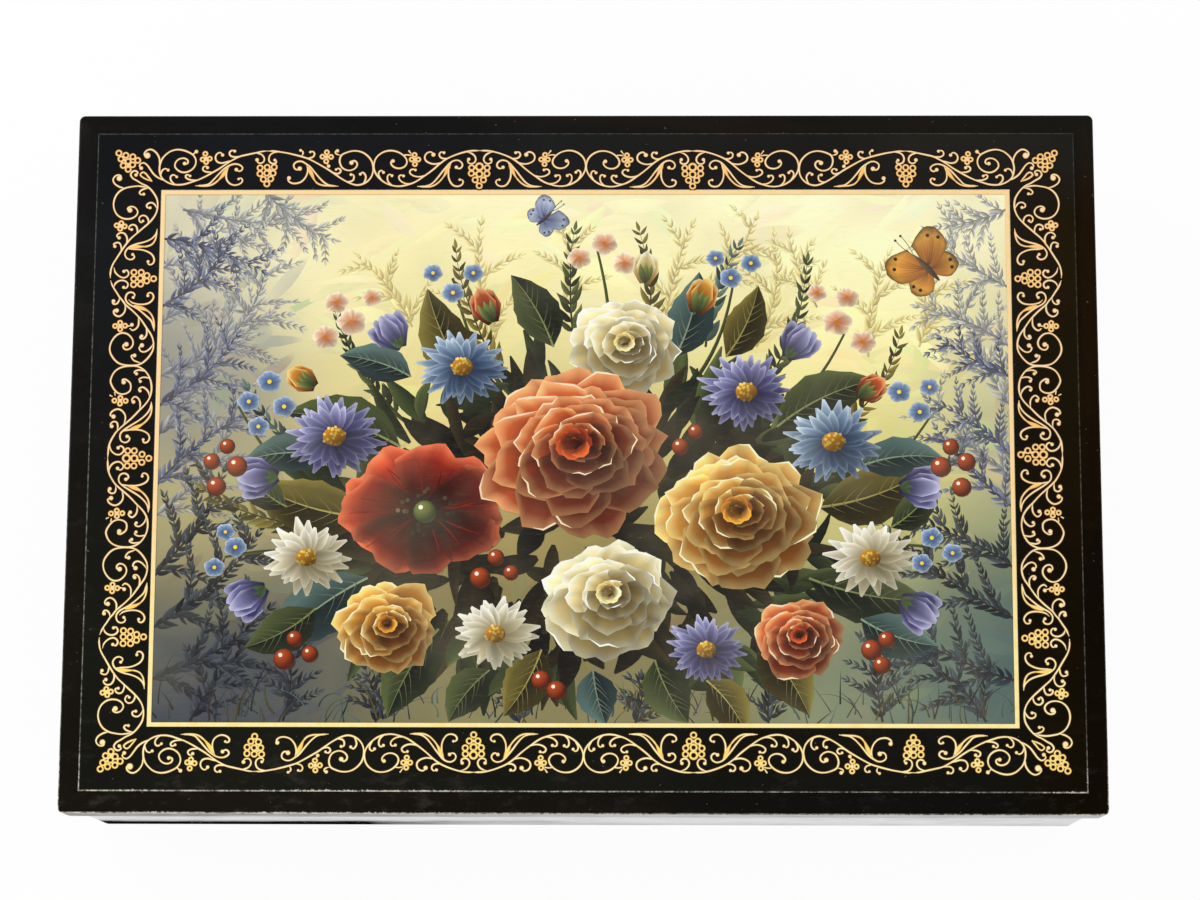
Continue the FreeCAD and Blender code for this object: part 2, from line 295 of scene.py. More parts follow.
def gold_paint(name):
    """Pale gold paint: cream where it is thick, orange where it thins at an edge, then a brown halo."""
    t = Tree(name)
    edge = t.add("ShaderNodeAttribute", attribute_name="thin").outputs["Fac"]
    warm = t.add("ShaderNodeAttribute", attribute_name="warm").outputs["Fac"]
    flow = t.noise(0.5, detail=4.0, roughness=0.6)
    grains = t.noise(6.0, detail=2.0)
    _, deep, _ = where(t)
    to_back = t.ramp(deep, -50.0, 0.0)
    cream = t.mix(to_back, (1.0, 0.93, 0.50), (0.95, 0.76, 0.47))
    uneven = t.mix(t.ramp(flow, 0.42, 0.72, 0.0, 0.55), cream, (0.95, 0.66, 0.2))
    rich = t.mix(warm, uneven, t.mix(to_back, (1.0, 0.68, 0.07), (0.96, 0.53, 0.10)))
    bright = t.mix(t.ramp(grains, 0.55, 0.75, 0.0, 0.3), rich, (1.0, 0.94, 0.66))
    thin = t.mix(t.ramp(edge, 0.45, 1.0, 0.0, 0.85), bright, (0.5, 0.19, 0.02))
    halo = t.ramp(edge, 1.0, 1.22)
    color = t.mix(halo, thin, (0.016, 0.006, 0.0008))
    roughness = t.ramp(flow, 0.3, 0.7, 0.32, 0.5)
    normal = t.bump(grains, 0.01, 0.35)
    t.put(t.shader.inputs["Metallic"], t.times(t.math("SUBTRACT", 1.0, halo), 0.25))
    t.put(t.shader.inputs["Specular IOR Level"], t.ramp(halo, 0.0, 1.0, 0.3, 0.05))
    return t.look(color, roughness, normal)


def floor_white(name):
    """A white sheet. What a camera or mirror sees of it is lifted towards white, and the shadow stays."""
    t = Tree(name)
    grain = t.noise(0.02, detail=3.0)
    color = t.mix(t.ramp(grain, 0.3, 0.7), (0.93, 0.93, 0.93), (0.95, 0.95, 0.95))
    t.look(color, t.ramp(grain, 0.3, 0.7, 0.6, 0.7), t.bump(grain, 0.05, 0.1), Specular_IOR_Level=0.1)
    glow = t.add("ShaderNodeEmission", {"Color": (1.0, 1.0, 1.0), "Strength": 1.0})
    lift = t.times(looked_at(t.tree), 0.95)
    blend = t.add("ShaderNodeMixShader", {0: lift})
    t.link(t.shader.outputs[0], blend.inputs[1])
    t.link(glow.outputs[0], blend.inputs[2])
    t.link(blend.outputs[0], t.output.inputs[0])
    return t.material


def looked_at(tree):
    """1 for what the camera sees, by itself, in a mirror or through glass, and 0 for other light."""
    path = tree.nodes.new("ShaderNodeLightPath")
    total = path.outputs["Is Camera Ray"]
    for name in ("Is Glossy Ray", "Is Transmission Ray"):
        either = tree.nodes.new("ShaderNodeMath")
        either.operation = "MAXIMUM"
        tree.links.new(total, either.inputs[0])
        tree.links.new(path.outputs[name], either.inputs[1])
        total = either.outputs[0]
    return total


# The border: one list of strokes for each kind of scroll, in millimetres.
# A point is (along, out): along from where two scrolls touch, out from the picture's edge.
# Each stroke is (points, its end dot or None, the dot's radius).
middle_scroll = [
    ([(21.3, 8.03), (19.4, 7.98), (18, 7.7), (16.2, 7.1), (14.7, 6.4), (13.3, 5.4), (12.2, 4.4), (11.1, 3.5),
      (10, 2.7), (9, 1.98), (8, 1.42), (7, 1.07), (6, 0.8), (4.8, 0.7), (3.5, 0.93), (2.4, 1.4), (1.4, 2.15),
      (0.6, 3.1), (0.1, 4.3), (0.12, 5.5), (0.5, 6.5), (1.3, 7.35), (2.45, 7.92), (3.7, 8.02), (4.8, 7.75),
      (5.8, 7.15), (6.5, 6.3), (6.65, 5.55), (6.3, 4.85), (5.6, 4.45), (4.75, 4.4), (4, 4.7), (3.5, 5.3),
      (3.55, 5.9)], (3.85, 5.9), 0.3),
    ([(18.6, 7.75), (19.6, 7.4), (20.2, 6.8), (20.35, 6.1), (20, 5.5), (19.4, 5.33), (18.85, 5.6),
      (18.75, 6.1)], (18.95, 6.25), 0.27),
    ([(15.2, 6.65), (14.5, 6.4), (13.8, 6.42), (13.2, 6.8), (13.1, 7.35), (13.5, 7.75)], (14, 7.6), 0.24),
    ([(13.9, 5.75), (13.1, 5.42), (12.1, 5.27), (11.1, 5.5), (10.35, 6.05), (10.2, 6.8), (10.55, 7.45),
      (11.2, 7.75), (11.7, 7.6)], (11.9, 7.2), 0.34),
    ([(10.9, 3.3), (10.1, 2.85), (8.9, 2.65), (7.8, 2.95), (7.25, 3.5), (7.4, 4), (7.9, 4.2)],
      (8.35, 4.05), 0.22),
    ([(8.2, 1.5), (7.3, 1.2), (6.4, 1.28), (5.55, 1.72), (5.1, 2.35), (5.2, 2.85), (5.65, 3)],
      (6, 2.82), 0.24),
    ([(4.2, 0.78), (3.5, 1.08), (3, 1.6), (2.8, 2.3), (2.9, 2.9), (3.3, 3.15)], (3.7, 2.88), 0.24),
    ([(1.9, 1.75), (1.5, 2.2), (1.1, 2.85), (1.03, 3.4), (1.3, 3.85), (1.7, 3.92)], (2, 3.55), 0.24),
    ([(8.75, 0.64), (10.3, 0.7), (11.2, 0.95), (12, 1.5), (12.9, 2.55), (13.7, 3.65), (14.5, 4.65),
      (15.2, 5.45), (16, 5.95), (16.8, 6.03), (17.5, 5.6), (17.72, 5), (17.4, 4.45), (16.9, 4.35)],
      (16.5, 4.6), 0.28),
    ([(8.75, 0.64), (10.1, 0.6), (11.3, 0.63), (12.2, 0.92), (13, 1.5), (13.8, 2.4), (14.4, 3.4),
      (14.9, 4.6), (15.3, 5.4)], None, 0),
    ([(15.5, 5.55), (15.1, 4.7), (14.95, 3.6), (15, 2.5), (15.4, 1.5), (16, 0.85), (16.8, 0.68),
      (17.6, 0.98), (17.9, 1.6), (17.6, 2.02)], (17.2, 2.05), 0.2),
    ([(6.1, 7.1), (6.8, 7.15), (7.5, 7)], None, 0),
    ([(6.95, 8.1), (7.5, 7.3)], None, 0),
]
end_scroll = [
    ([(21.2, 7.95), (19.8, 7.95), (18.8, 7.8), (17.3, 7.55), (15.8, 7.2), (14.5, 6.85), (13.1, 6.4),
      (11.8, 5.75), (10.3, 4.9), (8.8, 4), (7.6, 3.15), (6.4, 2.3), (5.1, 1.55), (4, 1.1), (3.2, 0.95),
      (2.3, 1.1), (1.3, 1.6), (0.5, 2.5), (0.1, 3.6), (0.1, 4.8), (0.4, 5.9), (1.1, 6.85), (2.1, 7.6),
      (3.2, 7.95), (4.3, 7.95), (5.4, 7.65), (6.4, 7.1), (6.75, 6.2), (6.65, 5.3), (6.2, 4.5), (5.4, 4.05),
      (4.6, 3.97), (3.8, 4.3), (3.3, 4.9), (3.3, 5.5), (3.7, 5.9), (4.2, 5.9)], (4.4, 5.55), 0.36),
    ([(18.6, 7.75), (19.8, 7.7), (20.6, 7.2), (20.9, 6.4), (20.7, 5.7), (20.1, 5.37), (19.5, 5.5),
      (19.4, 5.9)], (19.7, 6.1), 0.24),
    ([(14.5, 6.8), (14.1, 7.4), (14.2, 7.9)], (14.6, 8.1), 0.22),
    ([(13.6, 6.55), (12.8, 6.5), (12.05, 6.8), (11.8, 7.3), (12, 7.75), (12.4, 7.9)], (12.65, 7.75), 0.2),
    ([(6.4, 7.1), (7.1, 7.2), (7.6, 7.5), (7.6, 7.95)], (7.25, 8), 0.28),
    ([(9.4, 5.5), (9.1, 5.15)], (8.95, 4.85), 0.28),
    ([(8.5, 3.8), (7.4, 3.3), (6.8, 3.4), (6.5, 3.9), (6.8, 4.3), (7.2, 4.35)], (7.45, 4.15), 0.2),
    ([(5.5, 1.7), (4.5, 1.68), (4, 2), (3.85, 2.5), (4, 3.05)], (4.45, 3.1), 0.24),
    ([(2.5, 1.05), (1.9, 1.4), (1.6, 2), (1.5, 2.7), (1.8, 3.3), (2.2, 3.55)], (2.6, 3.2), 0.24),
    ([(6.9, 0.7), (8, 0.8), (9, 1), (9.9, 1.6), (10.8, 2.5), (11.7, 3.6), (12.6, 4.7), (13.4, 5.3),
      (14.3, 5.8), (15.1, 5.8), (15.8, 5.35), (15.9, 4.8), (15.6, 4.25), (15, 4.1)], (14.7, 4.35), 0.36),
    ([(6.9, 0.7), (8.8, 0.82), (10.1, 0.92), (11.1, 1.3), (11.8, 2.1), (12.3, 3.2), (12.7, 4), (12.95, 4.8)],
      None, 0),
    ([(13.4, 5.2), (13.1, 4.3), (13.2, 3.3), (13.6, 2.4), (14.4, 1.6), (15.4, 1.3), (16.2, 1.35),
      (16.8, 1.7), (17, 2.1)], (16.8, 2.4), 0.32),
]
corner_scroll = [
    ([(21.6, 8), (20.3, 7.85), (19, 7.55), (17.4, 7.2), (16, 6.85), (14.9, 6.3), (13.9, 5.7), (12.9, 5),
      (11.9, 4.3), (10.9, 3.7), (9.9, 3.1), (8.8, 2.5), (7.7, 2), (6.4, 1.55), (5.1, 1.15), (3.8, 1.02),
      (2.5, 1.2), (1.3, 1.75), (0.5, 2.5), (0.1, 3.5), (0.02, 4.6), (0.2, 5.6), (0.6, 6.5), (1.3, 7.3),
      (2.2, 7.95), (3.4, 8.27), (4.6, 8.15), (5.7, 7.75), (6.6, 7.2), (7.15, 6.4), (7.25, 5.5), (6.9, 4.6),
      (6.2, 3.95), (5.3, 3.6), (4.4, 3.65), (3.6, 4.1), (3.1, 4.8), (3.2, 5.6), (3.8, 6.25), (4.7, 6.5),
      (5.5, 6.2), (5.7, 5.7), (5.4, 5.3)], (5, 5.4), 0.3),
    ([(18.8, 7.6), (19.7, 7.5), (20.5, 7.1), (20.9, 6.4), (20.75, 5.75), (20.2, 5.45), (19.55, 5.7)],
      (19.45, 6.15), 0.3),
    ([(16.2, 6.95), (15.2, 6.75), (14.4, 6.85), (13.95, 7.25), (14, 7.8), (14.45, 8.1)],
      (14.95, 7.95), 0.24),
    ([(14.4, 6.1), (13.5, 5.75), (12.5, 5.5), (11.6, 5.7), (11.15, 6.4), (11.3, 7.2), (11.9, 7.65),
      (12.35, 7.5)], (12.55, 7.15), 0.27),
    ([(6.6, 7.2), (7, 7.6)], (7.3, 7.85), 0.3),
    ([(10.8, 3.7), (10.2, 3.62), (9.3, 3.7), (8.7, 4.1), (8.75, 4.6), (9.2, 4.85)], (9.6, 4.55), 0.26),
    ([(9.35, 5.5), (9.4, 5)], None, 0),
    ([(7.9, 2.1), (6.9, 1.95), (6, 2.1), (5.35, 2.5), (5.3, 2.9), (5.65, 3.1)], (6.15, 2.85), 0.22),
    ([(3.4, 1.08), (2.7, 1.5), (2.3, 2.1), (2.3, 2.7), (2.7, 3.05), (3.15, 2.95)], (3.5, 2.65), 0.22),
    ([(0.4, 2.6), (0.35, 3.4), (0.7, 4.1), (1.3, 4.35)], (1.75, 4.05), 0.24),
    ([(7.2, 0.82), (9, 0.9), (10, 1.2), (10.8, 2), (11.7, 3), (12.6, 4), (13.4, 4.65), (14.2, 5.1),
      (15.2, 5.3), (16.1, 5.05), (16.6, 4.5), (16.35, 3.95), (15.8, 3.82)], (15.35, 4.15), 0.3),
    ([(7.2, 0.82), (9.5, 0.78), (10.6, 1.05), (11.6, 1.75), (12.5, 2.75), (13.1, 3.6), (13.6, 4.5)],
      None, 0),
    ([(13.9, 4.8), (13.5, 3.9), (13.35, 3), (13.5, 2.05), (14.1, 1.3), (15, 0.95), (15.9, 1.1), (16.55, 1.6),
      (16.6, 2.1), (16.2, 2.4)], (15.85, 2.2), 0.2),
]
side_middle = [
    ([(18.7, 8.9), (17.5, 8.85), (16.3, 8.75), (15.3, 8.45), (14.3, 7.95), (13.3, 7.3), (12.5, 6.5),
      (11.7, 5.6), (10.9, 4.7), (10, 3.8), (9.1, 3), (8.3, 2.2), (7.3, 1.4), (6.3, 0.9), (5, 0.65),
      (3.6, 0.75), (2.5, 1.1), (1.5, 1.7), (0.8, 2.4), (0.2, 3.6), (0.1, 4.9), (0.3, 6.4), (0.8, 7.5),
      (1.5, 8.2), (2.3, 8.6), (3.2, 8.8), (4.1, 8.5), (5, 7.9), (5.6, 7.2), (5.8, 6.4), (5.6, 5.5),
      (5.1, 4.9), (4.4, 4.75), (3.6, 4.9), (3.1, 5.4), (2.8, 6), (3, 6.5)], (3.4, 6.2), 0.35),
    ([(15.7, 8.55), (16.7, 8.45), (17.4, 8), (17.85, 7.3), (17.9, 6.6), (17.5, 6), (16.9, 5.75), (16.4, 6),
      (16.2, 6.5)], (16.55, 6.9), 0.28),
    ([(13.1, 7.2), (12.2, 7.1), (11.5, 7.3), (11.3, 7.9), (11.6, 8.4), (12, 8.6)], (12.25, 8.3), 0.3),
    ([(12, 6), (11.1, 5.7), (10.1, 5.7), (9.2, 6.3), (8.8, 7.1), (9, 7.9), (9.5, 8.5), (10.1, 8.6)],
      (10.3, 8), 0.35),
    ([(5.3, 7.9), (6.1, 7.8)], None, 0),
    ([(6, 8.9), (6.3, 8.3)], None, 0),
    ([(8.9, 2.9), (8.2, 2.8), (7.4, 2.85), (6.7, 3.2), (6.3, 3.8), (6.6, 4.3), (7.1, 4.5)],
      (7.35, 4.15), 0.3),
    ([(6.3, 1.05), (5.5, 1.2), (4.8, 1.7), (4.4, 2.4), (4.6, 3), (5, 3.2)], (5.15, 2.9), 0.24),
    ([(3.1, 0.9), (2.7, 1), (2.4, 2.1), (2.5, 2.7), (2.9, 3.2)], (3.25, 2.9), 0.24),
    ([(1.3, 1.9), (1, 2.7), (0.95, 3.4), (1.2, 4), (1.5, 4.15)], (1.7, 3.7), 0.25),
    ([(7.3, 0.6), (8.5, 0.75), (9.4, 1.2), (10.3, 2), (11.1, 3), (11.8, 4.1), (12.5, 5.2), (13.1, 6),
      (13.7, 6.5), (14.5, 6.6), (15.2, 6.3), (15.5, 5.6), (15.2, 4.9), (14.7, 4.7), (14.3, 4.9)],
      (14.25, 5.2), 0.28),
    ([(7.3, 0.6), (8.7, 0.5), (9.9, 0.7), (10.9, 1.3), (11.7, 2.1), (12.3, 3.1), (12.7, 4), (12.9, 4.8)],
      None, 0),
    ([(13.3, 6.2), (13, 5.2), (12.9, 4), (13, 2.7), (13.3, 1.8), (13.9, 1), (14.7, 0.8), (15.4, 1.2),
      (15.5, 1.8), (15.1, 2.1)], (14.9, 2), 0.22),
]
side_end = [
    ([(17.2, 9.4), (16.4, 9.1), (15.7, 8.75), (14.8, 8.15), (13.8, 7.5), (13.1, 6.9), (12.3, 6.3),
      (11.6, 5.5), (10.9, 4.7), (10.1, 3.9), (9.2, 3.1), (8.2, 2.4), (7.3, 1.8), (6.3, 1.1), (5.4, 0.7),
      (4.3, 0.5), (3.1, 0.6), (2.1, 1.1), (1.2, 1.8), (0.5, 2.6), (0.1, 3.5), (0, 4.6), (0.05, 5.9),
      (0.3, 7), (0.8, 7.8), (1.6, 8.5), (2.5, 9), (3.5, 9.15), (4.5, 8.95), (5.5, 8.4), (6.2, 7.7),
      (6.55, 6.8), (6.4, 5.9), (5.9, 5.2), (5.2, 4.7), (4.5, 4.55), (3.8, 4.75), (3.3, 5.3), (3.2, 6),
      (3.6, 6.45), (4.2, 6.4)], (4.25, 5.9), 0.38),
    ([(15.7, 8.75), (16.6, 8.4), (17.1, 7.7), (17.2, 6.9), (16.9, 6.2), (16.4, 5.9), (15.8, 6.1),
      (15.6, 6.5)], (15.8, 6.75), 0.25),
    ([(13.8, 7.55), (13.1, 7.6), (12.5, 8), (12.4, 8.6), (12.75, 8.9)], (13, 8.7), 0.3),
    ([(12.5, 6.5), (11.7, 6.3), (10.9, 6.4), (10.2, 6.9), (9.9, 7.6), (10.2, 8.3), (10.8, 8.6),
      (11.25, 8.4)], (11.1, 8), 0.35),
    ([(7.95, 5.8), (7.95, 5.4)], (8.2, 4.9), 0.3),
    ([(9.8, 3.7), (8.9, 3.55), (8, 3.65), (7.3, 4.2), (7.1, 4.8), (7.5, 5.3)], None, 0),
    ([(8, 2.2), (6.9, 1.9), (6, 2), (5.4, 2.5), (5.4, 3), (5.8, 3.25)], (5.9, 2.9), 0.28),
    ([(4.3, 0.6), (3.5, 1.1), (2.9, 1.8), (2.7, 2.5), (3, 3.1), (3.6, 3.3)], (4.05, 2.8), 0.35),
    ([(0.4, 2.7), (0.7, 3.6), (1, 4.3), (1.5, 4.7), (2, 4.8)], (2, 4.2), 0.3),
    ([(6.9, 0.45), (8, 0.7), (9, 1.1), (9.8, 1.9), (10.6, 2.8), (11.3, 3.7), (11.9, 4.7), (12.4, 5.6),
      (13.1, 6.2), (13.8, 6.3), (14.5, 6), (14.8, 5.4), (14.6, 4.7), (14.1, 4.5)], (13.75, 4.8), 0.24),
    ([(6.9, 0.45), (9, 0.6), (10.1, 1), (10.9, 1.7), (11.4, 2.6), (11.7, 3.6), (12.1, 4.6)], None, 0),
    ([(13.3, 5.7), (12.7, 5), (12.4, 3.9), (12.35, 2.7), (12.6, 1.7), (13.2, 1), (13.9, 0.75), (14.6, 1.1),
      (14.7, 1.6), (14.4, 2)], (14.1, 1.9), 0.24),
]
side_corner = [
    ([(0, 9.45), (0.9, 9.48), (2.1, 9.3), (3.1, 8.9), (4.1, 8.3), (5.1, 7.7), (6.1, 7.1), (7.1, 6.4),
      (8.1, 5.6), (9.1, 4.5), (10.1, 3.4), (11.1, 2.3), (12.1, 1.4), (13.1, 0.8), (14.1, 0.5), (15.1, 0.45),
      (16.1, 0.6), (17.1, 1.1), (18.2, 1.95), (18.9, 2.8), (19.35, 3.75), (19.95, 4.7), (20.5, 5.6),
      (21.2, 6), (21.8, 5.7), (22, 5.1), (21.6, 4.6)], (21.15, 4.95), 0.28),
    ([(18.5, 2.4), (18.75, 3.5), (18.85, 4.6), (18.7, 5.9), (18.4, 7.1), (17.7, 8.2), (16.7, 8.9),
      (15.4, 9.25), (14.1, 9.1), (13, 8.5), (12.3, 7.5), (12.1, 6.4), (12.3, 5.4), (12.9, 4.6), (13.6, 4.4),
      (14.4, 4.9), (14.65, 5.7), (14.4, 6.3), (14, 6.4)], (13.9, 5.95), 0.4),
    ([(18.4, 7), (18.7, 8.2), (19.4, 9.2), (20.2, 9.5), (20.9, 9.1), (21.15, 8.4), (20.85, 7.9)],
      (20.45, 8.25), 0.45),
    ([(2.2, 8.8), (1.2, 8.5), (0.35, 7.6), (0.1, 6.7), (0.5, 6), (1.1, 5.85), (1.65, 6.3)],
      (1.4, 6.8), 0.26),
    ([(5.3, 7.5), (6, 7.45), (6.8, 7.6), (7.25, 8), (7.2, 8.6), (6.9, 9)], (6.5, 8.75), 0.26),
    ([(6.2, 6.9), (7.2, 6.4), (8.3, 6.4), (9.1, 6.9), (9.3, 7.6), (9, 8.2), (8.5, 8.4)], (8.25, 7.95), 0.28),
    ([(8.9, 4.6), (9.5, 4.35), (10.1, 4.4), (10.8, 4.8), (10.9, 5.5), (10.5, 6), (10, 6)],
      (9.95, 5.5), 0.24),
    ([(11, 2.4), (11.6, 2.2), (12.2, 2.35), (12.7, 2.8), (12.8, 3.5), (12.3, 4.05), (11.7, 4), (11.35, 3.6)],
      (11.7, 3.3), 0.22),
    ([(14, 0.55), (14.7, 0.8), (15.3, 1.3), (15.45, 1.8), (15.25, 2.4), (14.8, 2.65), (14.4, 2.4)],
      (14.4, 1.95), 0.24),
    ([(18.4, 2.3), (18.3, 3.1), (18, 3.8), (17.5, 4.15), (17.1, 3.8)], (17.2, 3.3), 0.24),
    ([(10.1, 0.4), (9.1, 0.6), (8.3, 1.2), (7.7, 2.1), (7.3, 3.2), (7, 4.4), (6.5, 5.6), (5.8, 6.4),
      (4.9, 6.7), (4.1, 6.3), (3.8, 5.5), (4.1, 4.9), (4.5, 4.8)], (4.85, 5.15), 0.24),
    ([(10.1, 0.4), (8.7, 0.55), (7.7, 0.8), (6.9, 1.4), (6.5, 2.4), (6.45, 3.4), (6.4, 4.9), (6, 6)],
      None, 0),
    ([(5.9, 5.9), (5.9, 4.6), (5.8, 3.4), (5.5, 2.4), (4.9, 1.4), (4.1, 0.9), (3.3, 0.9), (2.8, 1.4),
      (2.9, 2)], (3.4, 2.05), 0.24),
]
# Strokes of a corner, as (left or right of the lid's middle, up or down from the border's middle line)
corner_strokes = [
    ([(83.6, 55.35), (84.3, 55.7), (85.2, 56.15), (86, 56.8), (86.7, 57.75), (87.4, 58.7), (88.1, 59.15),
      (88.75, 58.9), (88.9, 58.4)], (88.55, 58.05), 0.3),
    ([(84.95, 58.6), (84.92, 59.8), (85.2, 60.6), (85.8, 61.4), (86.7, 61.9), (87.5, 61.7), (88, 61.1),
      (87.85, 60.55)], (87.4, 60.65), 0.5),
    ([(86.3, 55.3), (87.2, 55.65), (88.1, 56.1), (88.7, 56.7), (88.2, 57.2), (87.7, 57), (87.1, 56.3),
      (86.3, 55.3)], None, 0),
]
# Rings as (along, out) or (along, out, radius)
middle_flower = [(8.15, 7.15), (8.9, 6.2), (8.25, 5.25), (7.6, 6.2)]
end_flower = [(9.35, 7.7), (10.2, 6.8), (8.5, 6.75), (9.45, 5.85)]
corner_flower = [(9.1, 7.4), (8.6, 6.25), (10, 6.4), (9.3, 5.7)]
side_middle_flower = [(7.1, 7.9), (7.7, 6.8), (6.55, 6.75), (7.15, 5.7)]
side_end_flower = [(7.95, 8.2), (7.3, 7.2), (8.6, 7.25), (8, 6.25)]
side_corner_flower = [(10.8, 8.5), (10.1, 7.8), (11.25, 7.6), (10.6, 6.9)]
middle_bunch = [(0, 4.7, 0.92), (-1.55, 4.5), (1.55, 4.5), (-1.5, 3.3), (0, 3.2, 0.8), (1.6, 3.35),
    (-0.82, 2), (0.82, 2), (0, 0.8)]
end_bunch = [(-1.4, 4.65), (0, 4.6), (1.4, 4.5), (-1.2, 3.4), (0.05, 3.4), (1.4, 3.3), (-0.75, 2.25),
    (0.7, 2.15), (0, 1.2)]
side_middle_bunch = [(0, 5.2, 0.92), (-1.5, 5), (1.5, 5), (-1.5, 3.7), (0, 3.65, 0.82), (1.5, 3.7),
    (-0.8, 2.15), (0.8, 2.15), (0, 0.8)]
side_end_bunch = [(-1.2, 4.8), (0, 4.8), (1.3, 4.8), (-1.1, 3.4), (0.1, 3.5), (1.3, 3.35), (-0.45, 2.2),
    (0.65, 2.2), (0, 0.85)]
corner_bunch = [(93.1, 61.15), (91.7, 60.7), (92.65, 59.95), (90.3, 60.4), (91.2, 59.45), (92.15, 58.6),
    (89.3, 59.65), (90.3, 58.75), (91.15, 57.8)]

# Places and sizes of the border and the picture, in millimetres
picture_mid_y = (sheet_low[1] + sheet_high[1]) / 2
picture_half = (sheet_high - sheet_low)[:2] / 2
ground_z = field_top - 0.08
paint_foot = field_top - 0.03
line_half, halo = 0.155, 0.26
dot_share = 1.25
usual_ring, ring_outer, ring_inner = 0.7, 0.69, 0.36
petal_outer, petal_inner, flower_eye = 0.58, 0.22, 0.42
ring_points, dot_points = 14, 12
start_taper, end_taper, short_run = 0.9, 0.6, 1.5
pool_points, pool_least, pool_swell, pool_over = 22, 0.12, 0.3, 0.008
neighbour_reach, run_together_share, blot = 1.75, 0.35, 0.3
touch_x, end_bunch_x, middle_bunch_x, corner_x = 42.3, 63.5, 21.2, 85.0
side_touch, side_bunch_y, side_corner_y, middle_y = 18.65, 36.2, 36.3, -0.4

# How far the painter's hand is off a true mirror image, in millimetres
long_sides_right, long_sides_stretch = 0.26, 1.002
front_left_down, front_right_down, right_half_down = 0.62, 0.5, 0.1
short_sides_out, right_side_right, short_sides_up = 0.15, 0.28, 0.92
corners_right = 0.38
side_bunch_right, side_bunch_up = 0.25, 0.87

# A bead from its rim inward: (share of its half width, how far beyond that, share of its height or None for
# its foot, how thin the paint is)
rim = [(1, halo, None, 2.0), (1, halo, 0.08, 2.0), (1, 0, 0.45, 1.0)]
shoulder = rim + [(0.5, 0, 0.9, 0.3)]
line_section = [(-share, -beyond, height, thin) for share, beyond, height, thin in shoulder]
line_section += [(0, 0, 1.0, 0.0)] + shoulder[::-1]
dot_section = rim + [(0.6, 0, 0.9, 0.3), (0.12, 0, 1.0, 0.0)]


def smooth(points, pitch=0.16):
    """Evenly spaced points on a centripetal curve through given ones."""
    p = np.array(points, float)
    p = np.vstack([2 * p[0] - p[1], p, 2 * p[-1] - p[-2]])
    knots = np.concatenate([[0], np.cumsum(np.linalg.norm(np.diff(p, axis=0), axis=1) ** 0.5)])
    runs = []
    for i in range(1, len(p) - 2):
        k = knots[i - 1:i + 3]
        s = np.linspace(k[1], k[2], 9)[:-1, None]
        a = [((k[j + 1] - s) * p[i + j - 1] + (s - k[j]) * p[i + j]) / (k[j + 1] - k[j]) for j in range(3)]
        b = [((k[j + 2] - s) * a[j] + (s - k[j]) * a[j + 1]) / (k[j + 2] - k[j]) for j in range(2)]
        runs.append(((k[2] - s) * b[0] + (s - k[1]) * b[1]) / (k[2] - k[1]))
    dense = np.vstack(runs + [p[-2:-1]])
    length = np.concatenate([[0], np.cumsum(np.linalg.norm(np.diff(dense, axis=0), axis=1))])
    even = np.linspace(0, length[-1], max(3, int(length[-1] / pitch) + 1))
    return np.stack([np.interp(even, length, dense[:, c]) for c in range(2)], axis=1)


def directions(line, closed=False):
    """Unit vectors along a line, and across it towards its left."""
    along = np.roll(line, -1, axis=0) - np.roll(line, 1, axis=0) if closed else np.gradient(line, axis=0)
    along = along / (np.linalg.norm(along, axis=1)[:, None] + 1e-9)
    return along, np.stack([-along[:, 1], along[:, 0]], axis=1)


def around(centre, reach, angle, keep=1.0):
    """Points at an angle round a centre, on a circle that keep flattens."""
    return np.stack([centre[0] + reach * np.cos(angle), centre[1] + reach * np.sin(angle) * keep], axis=-1)


def heights(section, rise, foot=paint_foot):
    """A section's heights on the lid, and how thin its paint is."""
    z = np.array([foot if height is None else field_top + rise * height for _, _, height, _ in section])
    return z, np.array([thin for *_, thin in section])


def turns(count):
    """Angles evenly round a circle."""
    return np.linspace(0, 2 * np.pi, count, endpoint=False)


